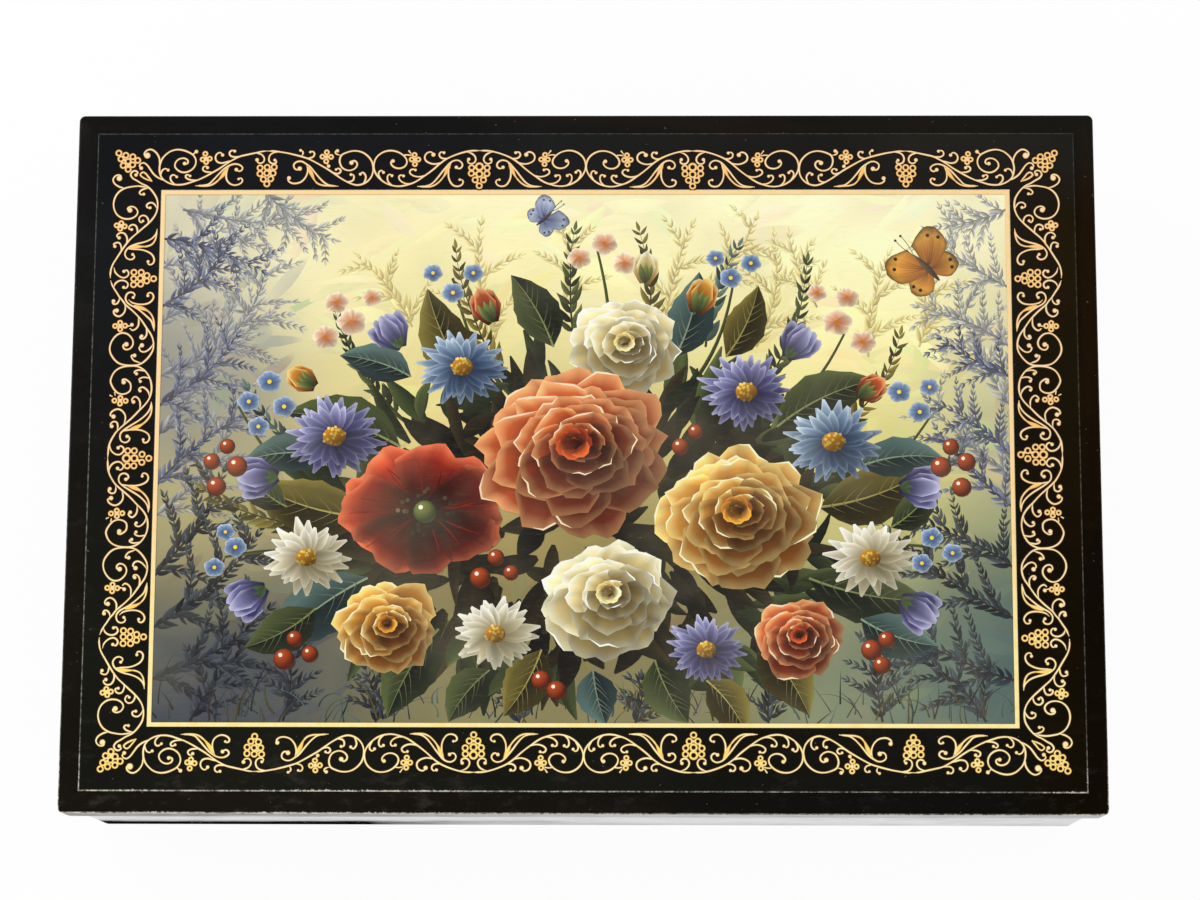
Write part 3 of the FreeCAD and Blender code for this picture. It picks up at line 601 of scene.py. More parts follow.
class Bead:
    """Gathers low rounded beads of paint into one mesh, with how thin and how warm each point is."""

    def __init__(self):
        self.points, self.faces, self.thin, self.warm = [], [], [], []
        self.count = 0

    def loft(self, places, z, thin, warm, closed):
        """Rows of points, each closed round, joined along; capped at both ends where they aren't closed."""
        rows, columns = places.shape[:2]
        index = self.count + np.arange(rows * columns).reshape(rows, columns)
        low = index if closed else index[:-1]
        high = np.roll(index, -1, axis=0)[:len(low)]
        quads = np.stack([low, np.roll(low, -1, axis=1), np.roll(high, -1, axis=1), high], axis=-1)
        self.faces += quads.reshape(-1, 4).tolist()
        if not closed:
            self.faces += [index[0, ::-1].tolist(), index[-1].tolist()]
        z = np.broadcast_to(z, (rows, columns))[..., None]
        self.points.append(np.concatenate([places, z], axis=2).reshape(-1, 3))
        self.thin.append(np.broadcast_to(thin, (rows, columns)).ravel())
        self.warm.append(np.full(rows * columns, warm))
        self.count += rows * columns

    def sweep(self, line, half, rise, warm, closed=False):
        """A bead along a line: half its width at each point, rise its height over the field."""
        _, across = directions(line, closed)
        offsets = np.stack([half * share + beyond for share, beyond, *_ in line_section], axis=1)
        places = line[:, None] + across[:, None] * offsets[..., None]
        self.loft(places, *heights(line_section, rise), warm, closed)

    def ring(self, place, outer, inner, rise, warm):
        """A bead closed round a place."""
        line = around(place, (outer + inner) / 2, turns(ring_points))
        self.sweep(line, np.full(len(line), (outer - inner) / 2), rise, warm, closed=True)

    def dot(self, place, radius, rise, warm):
        """A round drop of paint."""
        reach = np.array([radius * share + beyond for share, beyond, *_ in dot_section])
        z, thin = heights(dot_section, rise)
        rounds = around(place, reach[:, None], turns(dot_points))
        self.loft(rounds, z[:, None], thin[:, None], warm, closed=False)

    def piece(self, name, material):
        """The beads gathered so far, as one object on the lid."""
        mesh = bpy.data.meshes.new(name)
        mesh.from_pydata((np.vstack(self.points) * MM).tolist(), [], self.faces)
        for label, values in (("thin", self.thin), ("warm", self.warm)):
            layer = mesh.attributes.new(label, "FLOAT", "POINT")
            layer.data.foreach_set("value", np.concatenate(values).astype(np.float32))
        flat_map(mesh)
        mesh.shade_smooth()
        mesh.materials.append(material)
        return ride_on_lid(name, mesh)


def in_scene(name, data):
    """A new object for a mesh, a lamp or a camera."""
    made = bpy.data.objects.new(name, data)
    bpy.context.scene.collection.objects.link(made)
    return made


def ride_on_lid(name, mesh):
    """A new piece that moves with the lid."""
    made = in_scene(name, mesh)
    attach(made, "lid")
    return made


def bake_map(mesh, flat):
    """The map for the baked colours, from a place on it for each point of the mesh."""
    corners = np.zeros(len(mesh.loops), int)
    mesh.loops.foreach_get("vertex_index", corners)
    mesh.uv_layers.new(name="OFBake").data.foreach_set("uv", flat[corners].ravel())


def flat_map(mesh):
    """A flat map of the lid seen from above."""
    points = np.zeros(len(mesh.vertices) * 3)
    mesh.vertices.foreach_get("co", points)
    span = (field_high[0] - field_low[0]) * MM
    bake_map(mesh, points.reshape(-1, 3)[:, :2] / span + 0.5)


def level():
    """A bead's height, a little different each time, so that crossing beads never share a face."""
    return 0.034 + 0.016 * rng.random()


def draw(bead, strokes, place):
    """Strokes and their end dots, put on the lid by place(along, out)."""
    for points, end, radius in strokes:
        is_leaf_line = end is None and len(points) > 6
        is_root = end is None and points[0][1] < 1.0
        route = points if end is None else points + [end]
        line = smooth([place(*point) for point in route])
        share = np.linspace(0, 1, len(line))
        run = np.linalg.norm(np.diff(line, axis=0), axis=1).sum()
        least = 0.35 if run > short_run else 0.8
        taper = np.clip(share * run / start_taper, least, 1) * np.clip((1 - share) * run / end_taper, 0.7, 1)
        swelling = 1 + 0.12 * np.sin(share * run * 0.9 + 6 * rng.random())
        bead.sweep(line, line_half * taper * swelling, level(), 0.35 * is_leaf_line)
        if is_root:
            pool = line[-pool_points:]
            pool_half = pool_least + pool_swell * np.sin(np.pi * np.linspace(0, 1, len(pool)) ** 1.6)
            bead.sweep(pool, pool_half, level() + pool_over, 0.8)
        if end is not None:
            bead.dot(place(*end), radius * dot_share, level(), 0.0)


def rings(bead, places, place, outer, inner, warm):
    """Rings at places (along, out), or (along, out, radius) where one isn't of the usual size."""
    for along, out, *radius in places:
        size = radius[0] / usual_ring if radius else 1.0
        bead.ring(place(along, out), outer * size, inner * size, level(), warm)


def grapes(bead, bunch, place):
    """A bunch of rings, with paint run together in the gaps between neighbours."""
    rings(bead, bunch, place, ring_outer, ring_inner, 0.6)
    centres = [np.array(place(*spot[:2])) for spot in bunch]
    for i, a in enumerate(centres):
        for b in centres[:i]:
            if np.linalg.norm(a - b) < neighbour_reach and rng.random() < run_together_share:
                bead.dot((a + b) / 2, blot, level() - 0.012, 0.35)


def half_side_places(sx, sy):
    """For one quarter of the border, what puts long-side, short-side and corner places on the lid."""
    right, low = sx > 0, sy < 0
    down = low * (front_right_down if right else front_left_down) + right_half_down * right

    def long_side(start, way):
        """Places counted from start, away from the middle or back towards it."""
        return lambda along, out: (long_sides_right + sx * long_sides_stretch * (start + way * along),
                                   picture_mid_y + sy * (picture_half[1] + out) - down)

    def raised(from_middle):
        """How far up a place on a short side is moved."""
        near = max(0.0, 1 - from_middle / side_touch)
        return short_sides_up * (low * (1 - near * (not right)) + near * right * (not low))

    def short_side(start, way):
        """The same for a short side."""
        return lambda along, out: (sx * (picture_half[0] + short_sides_out + out) + right_side_right * right,
                                   middle_y + sy * (start + way * along) + raised(start + way * along))

    def corner(across, up):
        """A place counted from the border's middle."""
        return sx * across + corners_right * right, picture_mid_y + sy * up - down

    return long_side, short_side, corner


def gold_border(material):
    """The vine border. Each half side is mirrored to the others, and set where the painter's hand put it."""
    front_vine, back_vine, fruit = Bead(), Bead(), Bead()
    for sx in (-1, 1):
        for sy, vine in ((-1, front_vine), (1, back_vine)):
            long_side, short_side, corner = half_side_places(sx, sy)
            for strokes, flower, place in (
                    (middle_scroll, middle_flower, long_side(0.0, 1)),
                    (middle_scroll, middle_flower, long_side(touch_x, -1)),
                    (end_scroll, end_flower, long_side(touch_x, 1)),
                    (corner_scroll, corner_flower, long_side(corner_x, -1)),
                    (side_middle, side_middle_flower, short_side(side_touch, -1)),
                    (side_end, side_end_flower, short_side(side_touch, 1)),
                    (side_corner, side_corner_flower, short_side(side_corner_y, 1))):
                draw(vine, strokes, place)
                rings(fruit, flower, place, petal_outer, petal_inner, 0.55)
                fruit.dot(place(*np.mean(flower, axis=0)), flower_eye, level(), 0.3)
            draw(vine, corner_strokes, corner)
            grapes(fruit, corner_bunch, corner)
            grapes(fruit, end_bunch, long_side(end_bunch_x, 1))
            grapes(fruit, middle_bunch, long_side(middle_bunch_x, 1))
            grapes(fruit, side_end_bunch, short_side(side_bunch_y, 1))
        right = sx > 0
        grapes(fruit, side_middle_bunch, lambda along, out: (
            sx * (picture_half[0] + short_sides_out + out) + side_bunch_right * right,
            middle_y + along + side_bunch_up * right))
    front_vine.piece("gold_vine_front", material)
    back_vine.piece("gold_vine_back", material)
    fruit.piece("gold_fruit", material)


def gold_frame(material):
    """The plain gold line round the picture, with mitred corners."""
    width, overlap, rise, shift_down = 0.83, 0.1, 0.054, 0.06
    section = [(0.0, 0, None, 1.0), (0.0, 0, 0.6, 0.7), (0.25, 0, 1.0, 0.1),
               (0.75, 0, 1.0, 0.1), (1.0, 0, 0.6, 0.7), (1.0, 0, None, 1.0)]
    half = picture_half - overlap - width * np.array([row[0] for row in section])[:, None]
    corners = np.array([(-1, -1), (1, -1), (1, 1), (-1, 1)])
    middle = np.array([0, picture_mid_y - shift_down])
    bead = Bead()
    z, thin = heights(section, rise, foot=ground_z - 0.02)
    bead.loft(middle + corners[:, None] * half, z, thin, 0.3, closed=True)
    made = bead.piece("gold_frame_line", material)
    made.data.shade_flat()


# The picture on the lid: a generic spray of garden flowers, painted stroke by stroke.
# Its places are millimetres on the lid, and its colours are as they look on a screen.
paint_step = 0.0007
paint_margin = 0.3
cell = 0.3
cells_across, cells_deep = 600, 400
first_cell_at = [-88, -56]
map_margin = 0.06
light_from = np.array([-0.6, 0.8])
least_weight = 1e-6


def rgb(color):
    """A colour as an array."""
    return np.asarray(color, float)


def linear(color):
    """A screen colour as the shader's linear one."""
    color = np.clip(rgb(color), 0, 1)
    return np.where(color <= 0.04045, color / 12.92, ((color + 0.055) / 1.055) ** 2.4)


def mix(a, b, t):
    """A colour or a row of colours, a share t of the way from a to b."""
    t = np.asarray(t, float)[..., None]
    return rgb(a) * (1 - t) + rgb(b) * t


def store_colors(mesh, tones):
    """A screen colour for each point of a mesh, for its material to read."""
    rgba = np.concatenate([linear(tones), np.ones((len(tones), 1))], axis=1)
    colors = mesh.attributes.new("paint", "FLOAT_COLOR", "POINT")
    colors.data.foreach_set("color", rgba.astype(np.float32).ravel())


class Paint:
    """Thin patches of paint, each laid one step higher than what it covers."""

    def __init__(self):
        self.levels = np.zeros((cells_across, cells_deep), int)
        self.start_piece()

    def start_piece(self):
        """Empty lists for the next piece's patches."""
        self.points, self.colors, self.faces, self.grids = [], [], [], []
        self.count = 0

    def covered_cells(self, xy):
        """The cells of the level map under a grid of points, found at places finer than the cells."""
        span = max(np.abs(np.diff(xy, axis=0)).max(), np.abs(np.diff(xy, axis=1)).max())
        shares = np.linspace(0, 1, int(span / cell) + 2)
        a, b, c, d = xy[:-1, :-1], xy[:-1, 1:], xy[1:, :-1], xy[1:, 1:]
        fine = [(a * (1 - q) + b * q) * (1 - p) + (c * (1 - q) + d * q) * p for p in shares for q in shares]
        places = (np.array(fine).reshape(-1, 2) - first_cell_at) / cell
        return tuple(places.astype(int).T)

    def patch(self, xy, color):
        """A grid of points with their colours, laid one step over the highest paint under it."""
        rows, cols = xy.shape[:2]
        middle = np.array([0, picture_mid_y])
        xy = np.clip(xy, middle - picture_half + paint_margin, middle + picture_half - paint_margin)
        under = self.covered_cells(xy)
        step = self.levels[under].max() + 1
        self.levels[under] = step
        z = np.full((rows, cols, 1), ground_z + step * paint_step)
        self.points.append(np.concatenate([xy, z], axis=2).reshape(-1, 3))
        self.colors.append(np.clip(color, 0.0, 1.0).reshape(-1, 3))
        self.grids.append((self.count, rows, cols))
        index = self.count + np.arange(rows * cols).reshape(rows, cols)
        quads = np.stack([index[:-1, :-1], index[1:, :-1], index[1:, 1:], index[:-1, 1:]], axis=-1)
        self.faces.append(quads.reshape(-1, 4))
        self.count += rows * cols

    def piece(self, name, material):
        """One mesh of the patches laid since the last piece, each with its own square of the bake's map."""
        least_area = 1e-5
        points = np.vstack(self.points)
        faces = np.vstack(self.faces)
        corners = points[faces]
        doubled = np.cross(corners[:, 2] - corners[:, 0], corners[:, 3] - corners[:, 1])
        faces = faces[np.linalg.norm(doubled, axis=1) / 2 > least_area]
        mesh = bpy.data.meshes.new(name)
        mesh.from_pydata((points * MM).tolist(), [], faces.tolist())
        store_colors(mesh, np.vstack(self.colors))
        squares = int(np.ceil(np.sqrt(len(self.grids))))
        flat = np.zeros((len(points), 2))
        for k, (first, rows, cols) in enumerate(self.grids):
            v, u = (np.linspace(map_margin, 1 - map_margin, n) for n in (rows, cols))
            v, u = np.meshgrid(v, u, indexing="ij")
            flat[first:first + rows * cols, 0] = (k % squares + u.ravel()) / squares
            flat[first:first + rows * cols, 1] = (k // squares + v.ravel()) / squares
        bake_map(mesh, flat)
        mesh.materials.append(material)
        self.start_piece()
        ride_on_lid(name, mesh)


painting = Paint()

# Soft areas of the ground: (x, y, spread, colour)
ground_areas = [
    (-10, 48, 24, (1.0, 0.985, 0.86)), (30, 48, 24, (1.0, 0.985, 0.86)), (58, 42, 18, (1.0, 0.98, 0.84)),
    (10, 22, 24, (1.0, 0.96, 0.58)), (52, 18, 20, (1.0, 0.95, 0.58)), (-30, 20, 20, (1.0, 0.93, 0.60)),
    (-46, 42, 13, (0.97, 0.94, 0.74)), (-70, 44, 13, (0.86, 0.84, 0.72)), (82, 32, 9, (0.90, 0.88, 0.70)),
    (-76, 14, 13, (0.54, 0.54, 0.53)), (82, 4, 11, (0.62, 0.63, 0.54)), (-72, -12, 13, (0.74, 0.69, 0.46)),
    (0, -8, 24, (0.50, 0.42, 0.24)), (58, -10, 14, (0.88, 0.83, 0.50)), (-66, -46, 18, (0.27, 0.29, 0.32)),
    (-30, -46, 15, (0.56, 0.53, 0.36)), (6, -46, 18, (0.52, 0.50, 0.35)), (44, -46, 18, (0.52, 0.55, 0.42)),
    (76, -38, 18, (0.30, 0.39, 0.39)),
]


def wander(x, y, scale, seed):
    """A slow wave over the picture, from -1 to 1."""
    a, b, c = seed * 1.7, seed * 3.1, seed * 5.3
    return (np.sin(x / scale + 1.6 * np.sin(y / scale * 0.8 + a) + b) * 0.6
            + np.sin(y / scale * 1.3 - 1.2 * np.sin(x / scale * 0.9 + c) + a) * 0.4)


def ground_color(x, y):
    """The ground's colour at a place: its soft areas blended, and a little uneven."""
    x, y = np.asarray(x, float), np.asarray(y, float)
    total = np.zeros(x.shape + (3,))
    weight = np.zeros(x.shape + (1,))
    for cx, cy, spread, tone in ground_areas:
        near = np.exp(-(((x - cx) ** 2 + (y - cy) ** 2) / (2 * spread ** 2)))[..., None] + least_weight
        total += near * rgb(tone)
        weight += near
    uneven = 1 + 0.03 * wander(x, y, 9.0, 1)[..., None] + 0.02 * wander(x, y, 3.1, 2)[..., None]
    return total / weight * uneven


def streaks(cols, strength):
    """Uneven brightness across a stroke, from the brush's bristles."""
    return 1 + strength * rng.normal(0, 1, cols)


def swell(share, first=0.0, last=1.0, power=1.0):
    """A width that swells and thins again, or only the part of it from first to last."""
    return np.sin(np.pi * (first + (last - first) * share) ** power)


def facing(angle):
    """How much a direction faces the light, from -1 to 1."""
    return np.cos(angle) * light_from[0] + np.sin(angle) * light_from[1]


def sunlit(angle):
    """How much a direction faces the light, from 0 to 1."""
    return 0.5 + 0.5 * facing(angle)


def stroke(path, half, colors, side=0.15, bristle=0.06, cols=4):
    """A brush stroke along a path: half its width and its colour at each point, lighter on one side."""
    path = np.asarray(path, float)
    colors = np.broadcast_to(colors, (len(path), 3))
    _, across = directions(path)
    u = np.linspace(-1, 1, cols)
    xy = path[:, None] + across[:, None] * (np.reshape(half, (-1, 1)) * u)[..., None]
    shading = (1 + side * u) * streaks(cols, bristle)
    painting.patch(xy, colors[:, None] * shading[:, None])


def curve(start, angle, length, bend, rows):
    """Points along an arc that leaves start at an angle and turns by bend, and their shares of the way."""
    share = np.linspace(0, 1, rows)
    turn = angle + bend * share
    halfway = (turn[1:] + turn[:-1]) / 2
    steps = np.stack([np.cos(halfway), np.sin(halfway)], axis=1) * (length / (rows - 1))
    moved = np.vstack([np.zeros(2), np.cumsum(steps, axis=0)])
    return np.asarray(start) + moved, share


def disc(centre, radius, rings, cols, keep=1.0):
    """A round patch: its points, how much each faces the light, and its share of the radius."""
    r = np.linspace(0.001, 1, rings)[:, None]
    turn = np.linspace(0, 2 * np.pi, cols)
    return around(centre, radius * r, turn, keep), r * facing(turn), r


def dot(centre, radius, tone):
    """A small round spot of one colour."""
    xy, _, _ = disc(centre, radius, 2, 9)
    painting.patch(xy, np.broadcast_to(rgb(tone), (2, 9, 3)))


def berry(centre, radius, dark, light):
    """A ball with a highlight, and with light thrown back into its dark side."""
    xy, lit, r = disc(centre, radius, 5, 14)
    glow = np.clip(0.55 * lit + 0.62 * np.sqrt(1 - r ** 2), 0, 1)
    thrown_back = np.clip(-lit - 0.55, 0, 1) * 1.2
    painting.patch(xy, mix(dark, light, glow) + thrown_back[..., None] * rgb(light) * 0.45)
    dot((centre[0] - 0.35 * radius, centre[1] + 0.4 * radius), radius * 0.2, (1.0, 0.97, 0.9))


def petal(base, angle, length, width, inner, outer, edge, bend=0.0, tip=0.35, neck=0.25, keep=1.0,
          ruffle=0.04, lit=1.0, rows=7, cols=8, narrow=False):
    """A petal: dark at its base, light towards its edge, streaked by the brush along its length."""
    v = np.linspace(0, 1, rows)[:, None]
    u = np.linspace(-1, 1, cols)[None, :]
    if narrow:
        profile = swell(v, 0.1, 0.82) ** 0.8
    else:
        profile = neck + (1 - neck) * np.sin(np.pi / 2 * v ** 0.8)
    wave = np.sin(u * (3 + 3 * rng.random()) + 6 * rng.random()) + 0.5 * np.sin(u * 11 + 6 * rng.random())
    reach = length * (v * (1 - tip * np.abs(u) ** 2.3 * v) + ruffle * wave * v ** 3)
    aside = width * u * profile
    turn = bend * v
    x = reach * np.cos(turn / 2) - aside * np.sin(turn)
    y = reach * np.sin(turn / 2) + aside * np.cos(turn)
    ca, sa = np.cos(angle), np.sin(angle)
    xy = np.stack([base[0] + (x * ca - y * sa), base[1] + (x * sa + y * ca) * keep], axis=-1)
    body = mix(inner, outer, np.broadcast_to(v ** 1.3, x.shape))
    end_rim = np.clip((v - 0.8) / 0.2, 0, 1)
    side_rim = 0.6 * np.clip((np.abs(u) - 0.8) / 0.2, 0, 1) * v
    body = body + (rgb(edge) - body) * (0.75 * np.clip(end_rim + side_rim, 0, 1))[..., None]
    grain = streaks(cols, 0.07)[None, :, None] * (0.6 + 0.4 * v[..., None]) + 0.4 * (1 - v[..., None])
    painting.patch(xy, body * grain * lit)
    return xy


def rim_light(xy, tone):
    """A thin light stroke along part of a petal's outer edge."""
    cols = xy.shape[1]
    first = rng.integers(0, max(1, cols // 2))
    part = slice(first, first + max(3, int(cols * 0.55)))
    line = xy[-1, part] * 0.96 + xy[-2, part] * 0.04
    size = np.linalg.norm(line[-1] - line[0])
    width = min(0.22, 0.03 * size + 0.06) * np.sin(np.linspace(0.15, np.pi - 0.15, len(line)))
    stroke(line, width, tone, side=0.05, bristle=0.02, cols=3)


def many_petalled(centre, radius, tones, counts, first_turn, keep=0.86, rise=0.10, spread=1.5):
    """A full flower: rings of petals from the outside in, each ring a little higher up the cup."""
    dark, mid, light, pale = tones
    ring_turn, heart_strokes, least_lit = 0.7, 7, 2.5
    for ring, n in enumerate(counts):
        share = 1 - ring / (len(counts) + 0.3)
        r = radius * share
        c = (centre[0] + radius * 0.02 * ring, centre[1] + radius * rise * (1 - share))
        starts = [2 * np.pi * k / n + first_turn + ring * ring_turn for k in range(n)]
        for turn in sorted(starts, key=np.sin)[::-1]:
            a = turn + rng.normal(0, 0.08)
            lit = 0.88 + 0.24 * facing(a) + rng.normal(0, 0.03) - 0.03 * ring
            size = r * (1 + rng.normal(0, 0.06))
            xy = petal(c, a, size, size * np.sin(np.pi / n) * spread, dark, mix(mid, light, sunlit(a)), pale,
                       bend=rng.normal(0, 0.18), keep=keep, ruffle=0.05, lit=lit)
            if rng.random() < 0.25 + 0.5 * sunlit(a) and size > least_lit:
                rim_light(xy, mix(pale, (1, 1, 0.95), 0.5))
    heart = radius * 0.17
    c = (centre[0], centre[1] + radius * rise * 0.9)
    for k in range(heart_strokes):
        path = around(c, heart * 0.8, first_turn + k * 0.9 + np.linspace(-0.9, 0.9, 6), keep)
        width = heart * 0.45 * np.array([0.1, 0.5, 0.8, 0.8, 0.5, 0.1])
        stroke(path, width, mix(dark, light, 0.3 + 0.08 * k), side=-0.5)


def leaf(base, angle, length, width, tones, bend):
    """A leaf of two halves on a midrib, one half lighter, with veins."""
    dark, light = tones
    rows, cols, veins, serration = 11, 4, 6, 0.04
    spine, v = curve(base, angle, length, bend, rows)
    along, across = directions(spine)
    profile = swell(v, power=0.75) ** 0.9
    half = width * profile * (1 + serration * np.where(np.arange(rows) % 2 == 0, 1, -1))
    u = np.linspace(0, 1, cols)
    swept = 0.08 * length * u * (1 - v[:, None]) * profile[:, None]
    lit_side = 1 if facing(angle + np.pi / 2) > 0 else -1
    for side in (-1, 1):
        xy = spine[:, None] + across[:, None] * (side * half[:, None] * u)[..., None]
        xy = xy + along[:, None] * swept[..., None]
        near, far = (mix(dark, light, 0.45), light) if side == lit_side else (dark, mix(dark, light, 0.35))
        tone = mix(near, far, np.broadcast_to(u, (rows, cols)))
        painting.patch(xy, tone * (0.8 + 0.35 * v[:, None, None]) * streaks(cols, 0.05)[:, None])
    rib = mix(light, (0.9, 0.88, 0.6), 0.3)
    stroke(spine, 0.16 * np.sqrt(length / 12) * (1.1 - v), rib, cols=3)
    for k in range(veins):
        i = 1 + int((rows - 4) * (k + 0.5) / veins)
        for side in (-1, 1):
            a = np.arctan2(along[i, 1], along[i, 0]) + side * 0.75
            path, share = curve(spine[i], a, width * profile[i] * 1.05, -side * 0.3, 4)
            stroke(path, 0.08 * (1.1 - share), mix(rib, mix(dark, light, 0.5), 0.45), cols=2)


def spray(start, angle, length, bend, leaf_length, leaf_width, tones, fade, pitch, spread, stem_half):
    """A thin stem with small leaves on both sides, smaller towards its end."""
    dark, light = tones
    rows = max(6, int(length / 2.0))
    path, v = curve(start, angle, length, bend, rows)
    path = path + 0.02 * length * np.stack([np.sin(v * 5), np.cos(v * 4)], axis=1) * v[:, None]
    behind = ground_color(*path[rows // 2])
    stroke(path, stem_half * (1.15 - v), mix(mix(dark, (0.3, 0.2, 0.15), 0.3), behind, fade), cols=3)
    n = int(length / pitch)
    for k in range(n):
        s = (k + 0.6) / n
        at = np.array([np.interp(s, v, path[:, 0]), np.interp(s, v, path[:, 1])])
        for side in (-1, 1):
            size = leaf_length * (1.05 - 0.6 * s) * rng.uniform(0.75, 1.2)
            tone = mix(mix(dark, light, rng.uniform(0, 1)), ground_color(*at), fade)
            turn = angle + bend * s + side * (spread + rng.normal(0, 0.15))
            blade, share = curve(at, turn, size, -side * rng.uniform(0.1, 0.6), 6)
            half = leaf_width * swell(share, power=0.7) * size / leaf_length + 0.03
            stroke(blade, half, tone * np.linspace(0.85, 1.12, 6)[:, None], side=0.18, cols=3)
    blade, share = curve(path[-1], angle + bend, leaf_length * 0.5, 0.1, 5)
    stroke(blade, leaf_width * 0.6 * swell(share, power=0.7) + 0.03, mix(light, behind, fade), cols=3)


def branching(x, y, angle, length, bend, size, tones, fade, twigs):
    """A spray with side sprays."""
    spread = 0.62
    spray((x, y), angle, length, bend, size, size * 0.13, tones, fade, pitch=1.5, spread=spread,
          stem_half=0.22)
    path, _ = curve((x, y), angle, length, bend, 12)
    for k in range(twigs):
        s = (k + rng.uniform(0.2, 0.8)) / twigs
        side = 1 if k % 2 else -1
        turned = angle + bend * s + side * rng.uniform(0.5, 0.9)
        spray(path[int(s * 9) + 1], turned, length * (0.5 - 0.2 * s), side * 0.4, size * 0.8, size * 0.1,
              tones, min(0.9, fade + 0.08), pitch=1.25, spread=spread, stem_half=0.14)


def rayed(centre, radius, tones, n, turn, width=0.13):
    """A daisy or aster: two layers of narrow petals round a stippled eye."""
    dark, mid, light = tones
    keep, stipples = 0.85, 22
    for layer in (0, 1):
        for k in range(n):
            a = 2 * np.pi * (k + 0.5 * layer) / n + turn + rng.normal(0, 0.05)
            size = radius * (1 - 0.17 * layer) * (1 + rng.normal(0, 0.06))
            tone = mix(mid, light, np.clip(sunlit(a) + rng.normal(0, 0.15), 0, 1))
            petal(centre, a, size, radius * width, dark, tone, mix(tone, (1, 1, 0.97), 0.45),
                  bend=rng.normal(0, 0.12), keep=keep, lit=0.92 + 0.14 * facing(a), rows=6, cols=4,
                  narrow=True, tip=0.2, ruffle=0.01)
    eye = rgb((0.86, 0.58, 0.12))
    eye_radius = radius * 0.24
    xy, lit, _ = disc(centre, eye_radius, 3, 14, keep)
    painting.patch(xy, mix(eye * 0.35, eye, np.clip(0.5 + 0.5 * lit, 0, 1)))
    for _ in range(stipples):
        a, reach = rng.uniform(0, 2 * np.pi), np.sqrt(rng.uniform(0, 1)) * eye_radius
        bright = 0.5 + 0.5 * facing(a) * reach / eye_radius
        dot(around(centre, reach, a, keep), eye_radius * 0.13, mix(eye * 0.5, (1.0, 0.9, 0.45), bright))


def small_flower(centre, radius, tones, turn, eye):
    """Five round petals and an eye."""
    dark, light = tones
    for k in range(5):
        a = turn + 2 * np.pi * k / 5
        petal(centre, a, radius, radius * 0.5, dark, light, mix(light, (1, 1, 1), 0.5),
              lit=0.94 + 0.1 * facing(a), rows=5, cols=6, tip=0.3, neck=0.35, keep=0.9, ruffle=0.02)
    dot(centre, radius * 0.18, eye)


def poppy(centre, radius, tones):
    """A wide open flower: six broad petals with dark strokes, stamens and a green middle."""
    dark, mid, light, pale = tones
    keep, petal_strokes, stamens = 0.82, 7, 26
    for a, size in ((2.2, 1.0), (1.2, 0.97), (3.25, 0.96), (0.15, 0.95), (4.2, 0.9), (5.3, 0.88)):
        petal(centre, a, radius * size, radius * 0.62, dark, mix(mid, light, sunlit(a)), pale,
              lit=0.9 + 0.2 * facing(a), keep=keep, ruffle=0.07, rows=9, cols=14, tip=0.3, neck=0.15)
        for _ in range(petal_strokes):
            s = a + rng.uniform(-0.45, 0.45)
            path, share = curve(around(centre, radius * 0.2, s, keep), s, radius * rng.uniform(0.45, 0.7),
                                rng.normal(0, 0.2), 5)
            path[:, 1] = centre[1] + (path[:, 1] - centre[1]) * keep
            stroke(path, 0.14 * swell(share, 0.1, 0.9), mix(mid, dark, rng.uniform(0.2, 0.8)), cols=3)
    for _ in range(stamens):
        a = rng.uniform(0, 2 * np.pi)
        end = around(centre, radius * rng.uniform(0.2, 0.34), a, keep)
        arched = [centre, (centre + end) / 2 + np.array([0, 0.1]), end]
        stroke(arched, [0.08, 0.08, 0.06], (0.12, 0.06, 0.06), cols=2)
        pollen = mix((0.1, 0.06, 0.08), (0.85, 0.75, 0.45), rng.uniform(0, 1) * sunlit(a))
        dot(end, radius * 0.028, pollen)
    berry(centre, radius * 0.14, (0.12, 0.14, 0.07), (0.55, 0.6, 0.3))


def bellflower(base, angle, size, tones):
    """A bell seen from the side, of five lobes, with green sepals."""
    dark, mid, light = tones
    lobes = ((-0.5, 0.34, mid), (0.5, 0.34, mix(mid, dark, 0.4)), (-0.22, 0.36, mix(mid, light, 0.4)),
             (0.2, 0.34, mid), (0.0, 0.32, light))
    for aside, width, tone in lobes:
        petal(base, angle + aside * 0.75, size, size * width * 0.75, dark, tone, mix(light, (1, 1, 1), 0.4),
              rows=6, cols=6, tip=0.45, neck=0.5, ruffle=0.02, bend=aside * 0.5)
    for k in (-1, 0, 1):
        path, share = curve(base, angle + 0.5 * k, size * 0.34, 0.2 * k, 4)
        stroke(path, size * 0.07 * swell(share, 0.15, 1.0), (0.25, 0.32, 0.2), cols=3)


def bud(base, angle, size, tones):
    """A half-open bud of three petals, with green sepals."""
    dark, mid, light, pale = tones
    for aside, tone in ((-0.25, mid), (0.25, mid), (0.0, light)):
        petal(base, angle + aside, size * (1 - abs(aside) * 0.3), size * 0.3, dark, tone, pale,
              rows=6, cols=5, tip=0.5, neck=0.5, ruffle=0.01)
    for aside in (-0.45, 0.0, 0.45):
        path, share = curve(base, angle + aside, size * 0.62, -aside * 0.7, 5)
        sepal = mix((0.16, 0.2, 0.1), (0.5, 0.55, 0.28), share)
        stroke(path, size * 0.1 * swell(share, 0.12, 0.98), sepal, cols=3)


def stem(start, end, sag):
    """A sagging stem from the bunch to a flower that stands out of it."""
    tone = rgb((0.20, 0.22, 0.11))
    t = np.linspace(0, 1, 14)
    start, end = np.array(start, float), np.array(end, float)
    dx, dy = end - start
    aside = np.array([-dy, dx]) / np.linalg.norm(end - start)
    path = start + (end - start) * t[:, None] + aside * (sag * np.sin(np.pi * t))[:, None]
    stroke(path, 0.42 * (1.2 - 0.7 * t), mix(tone, tone * 1.5, t), side=0.3, cols=3)


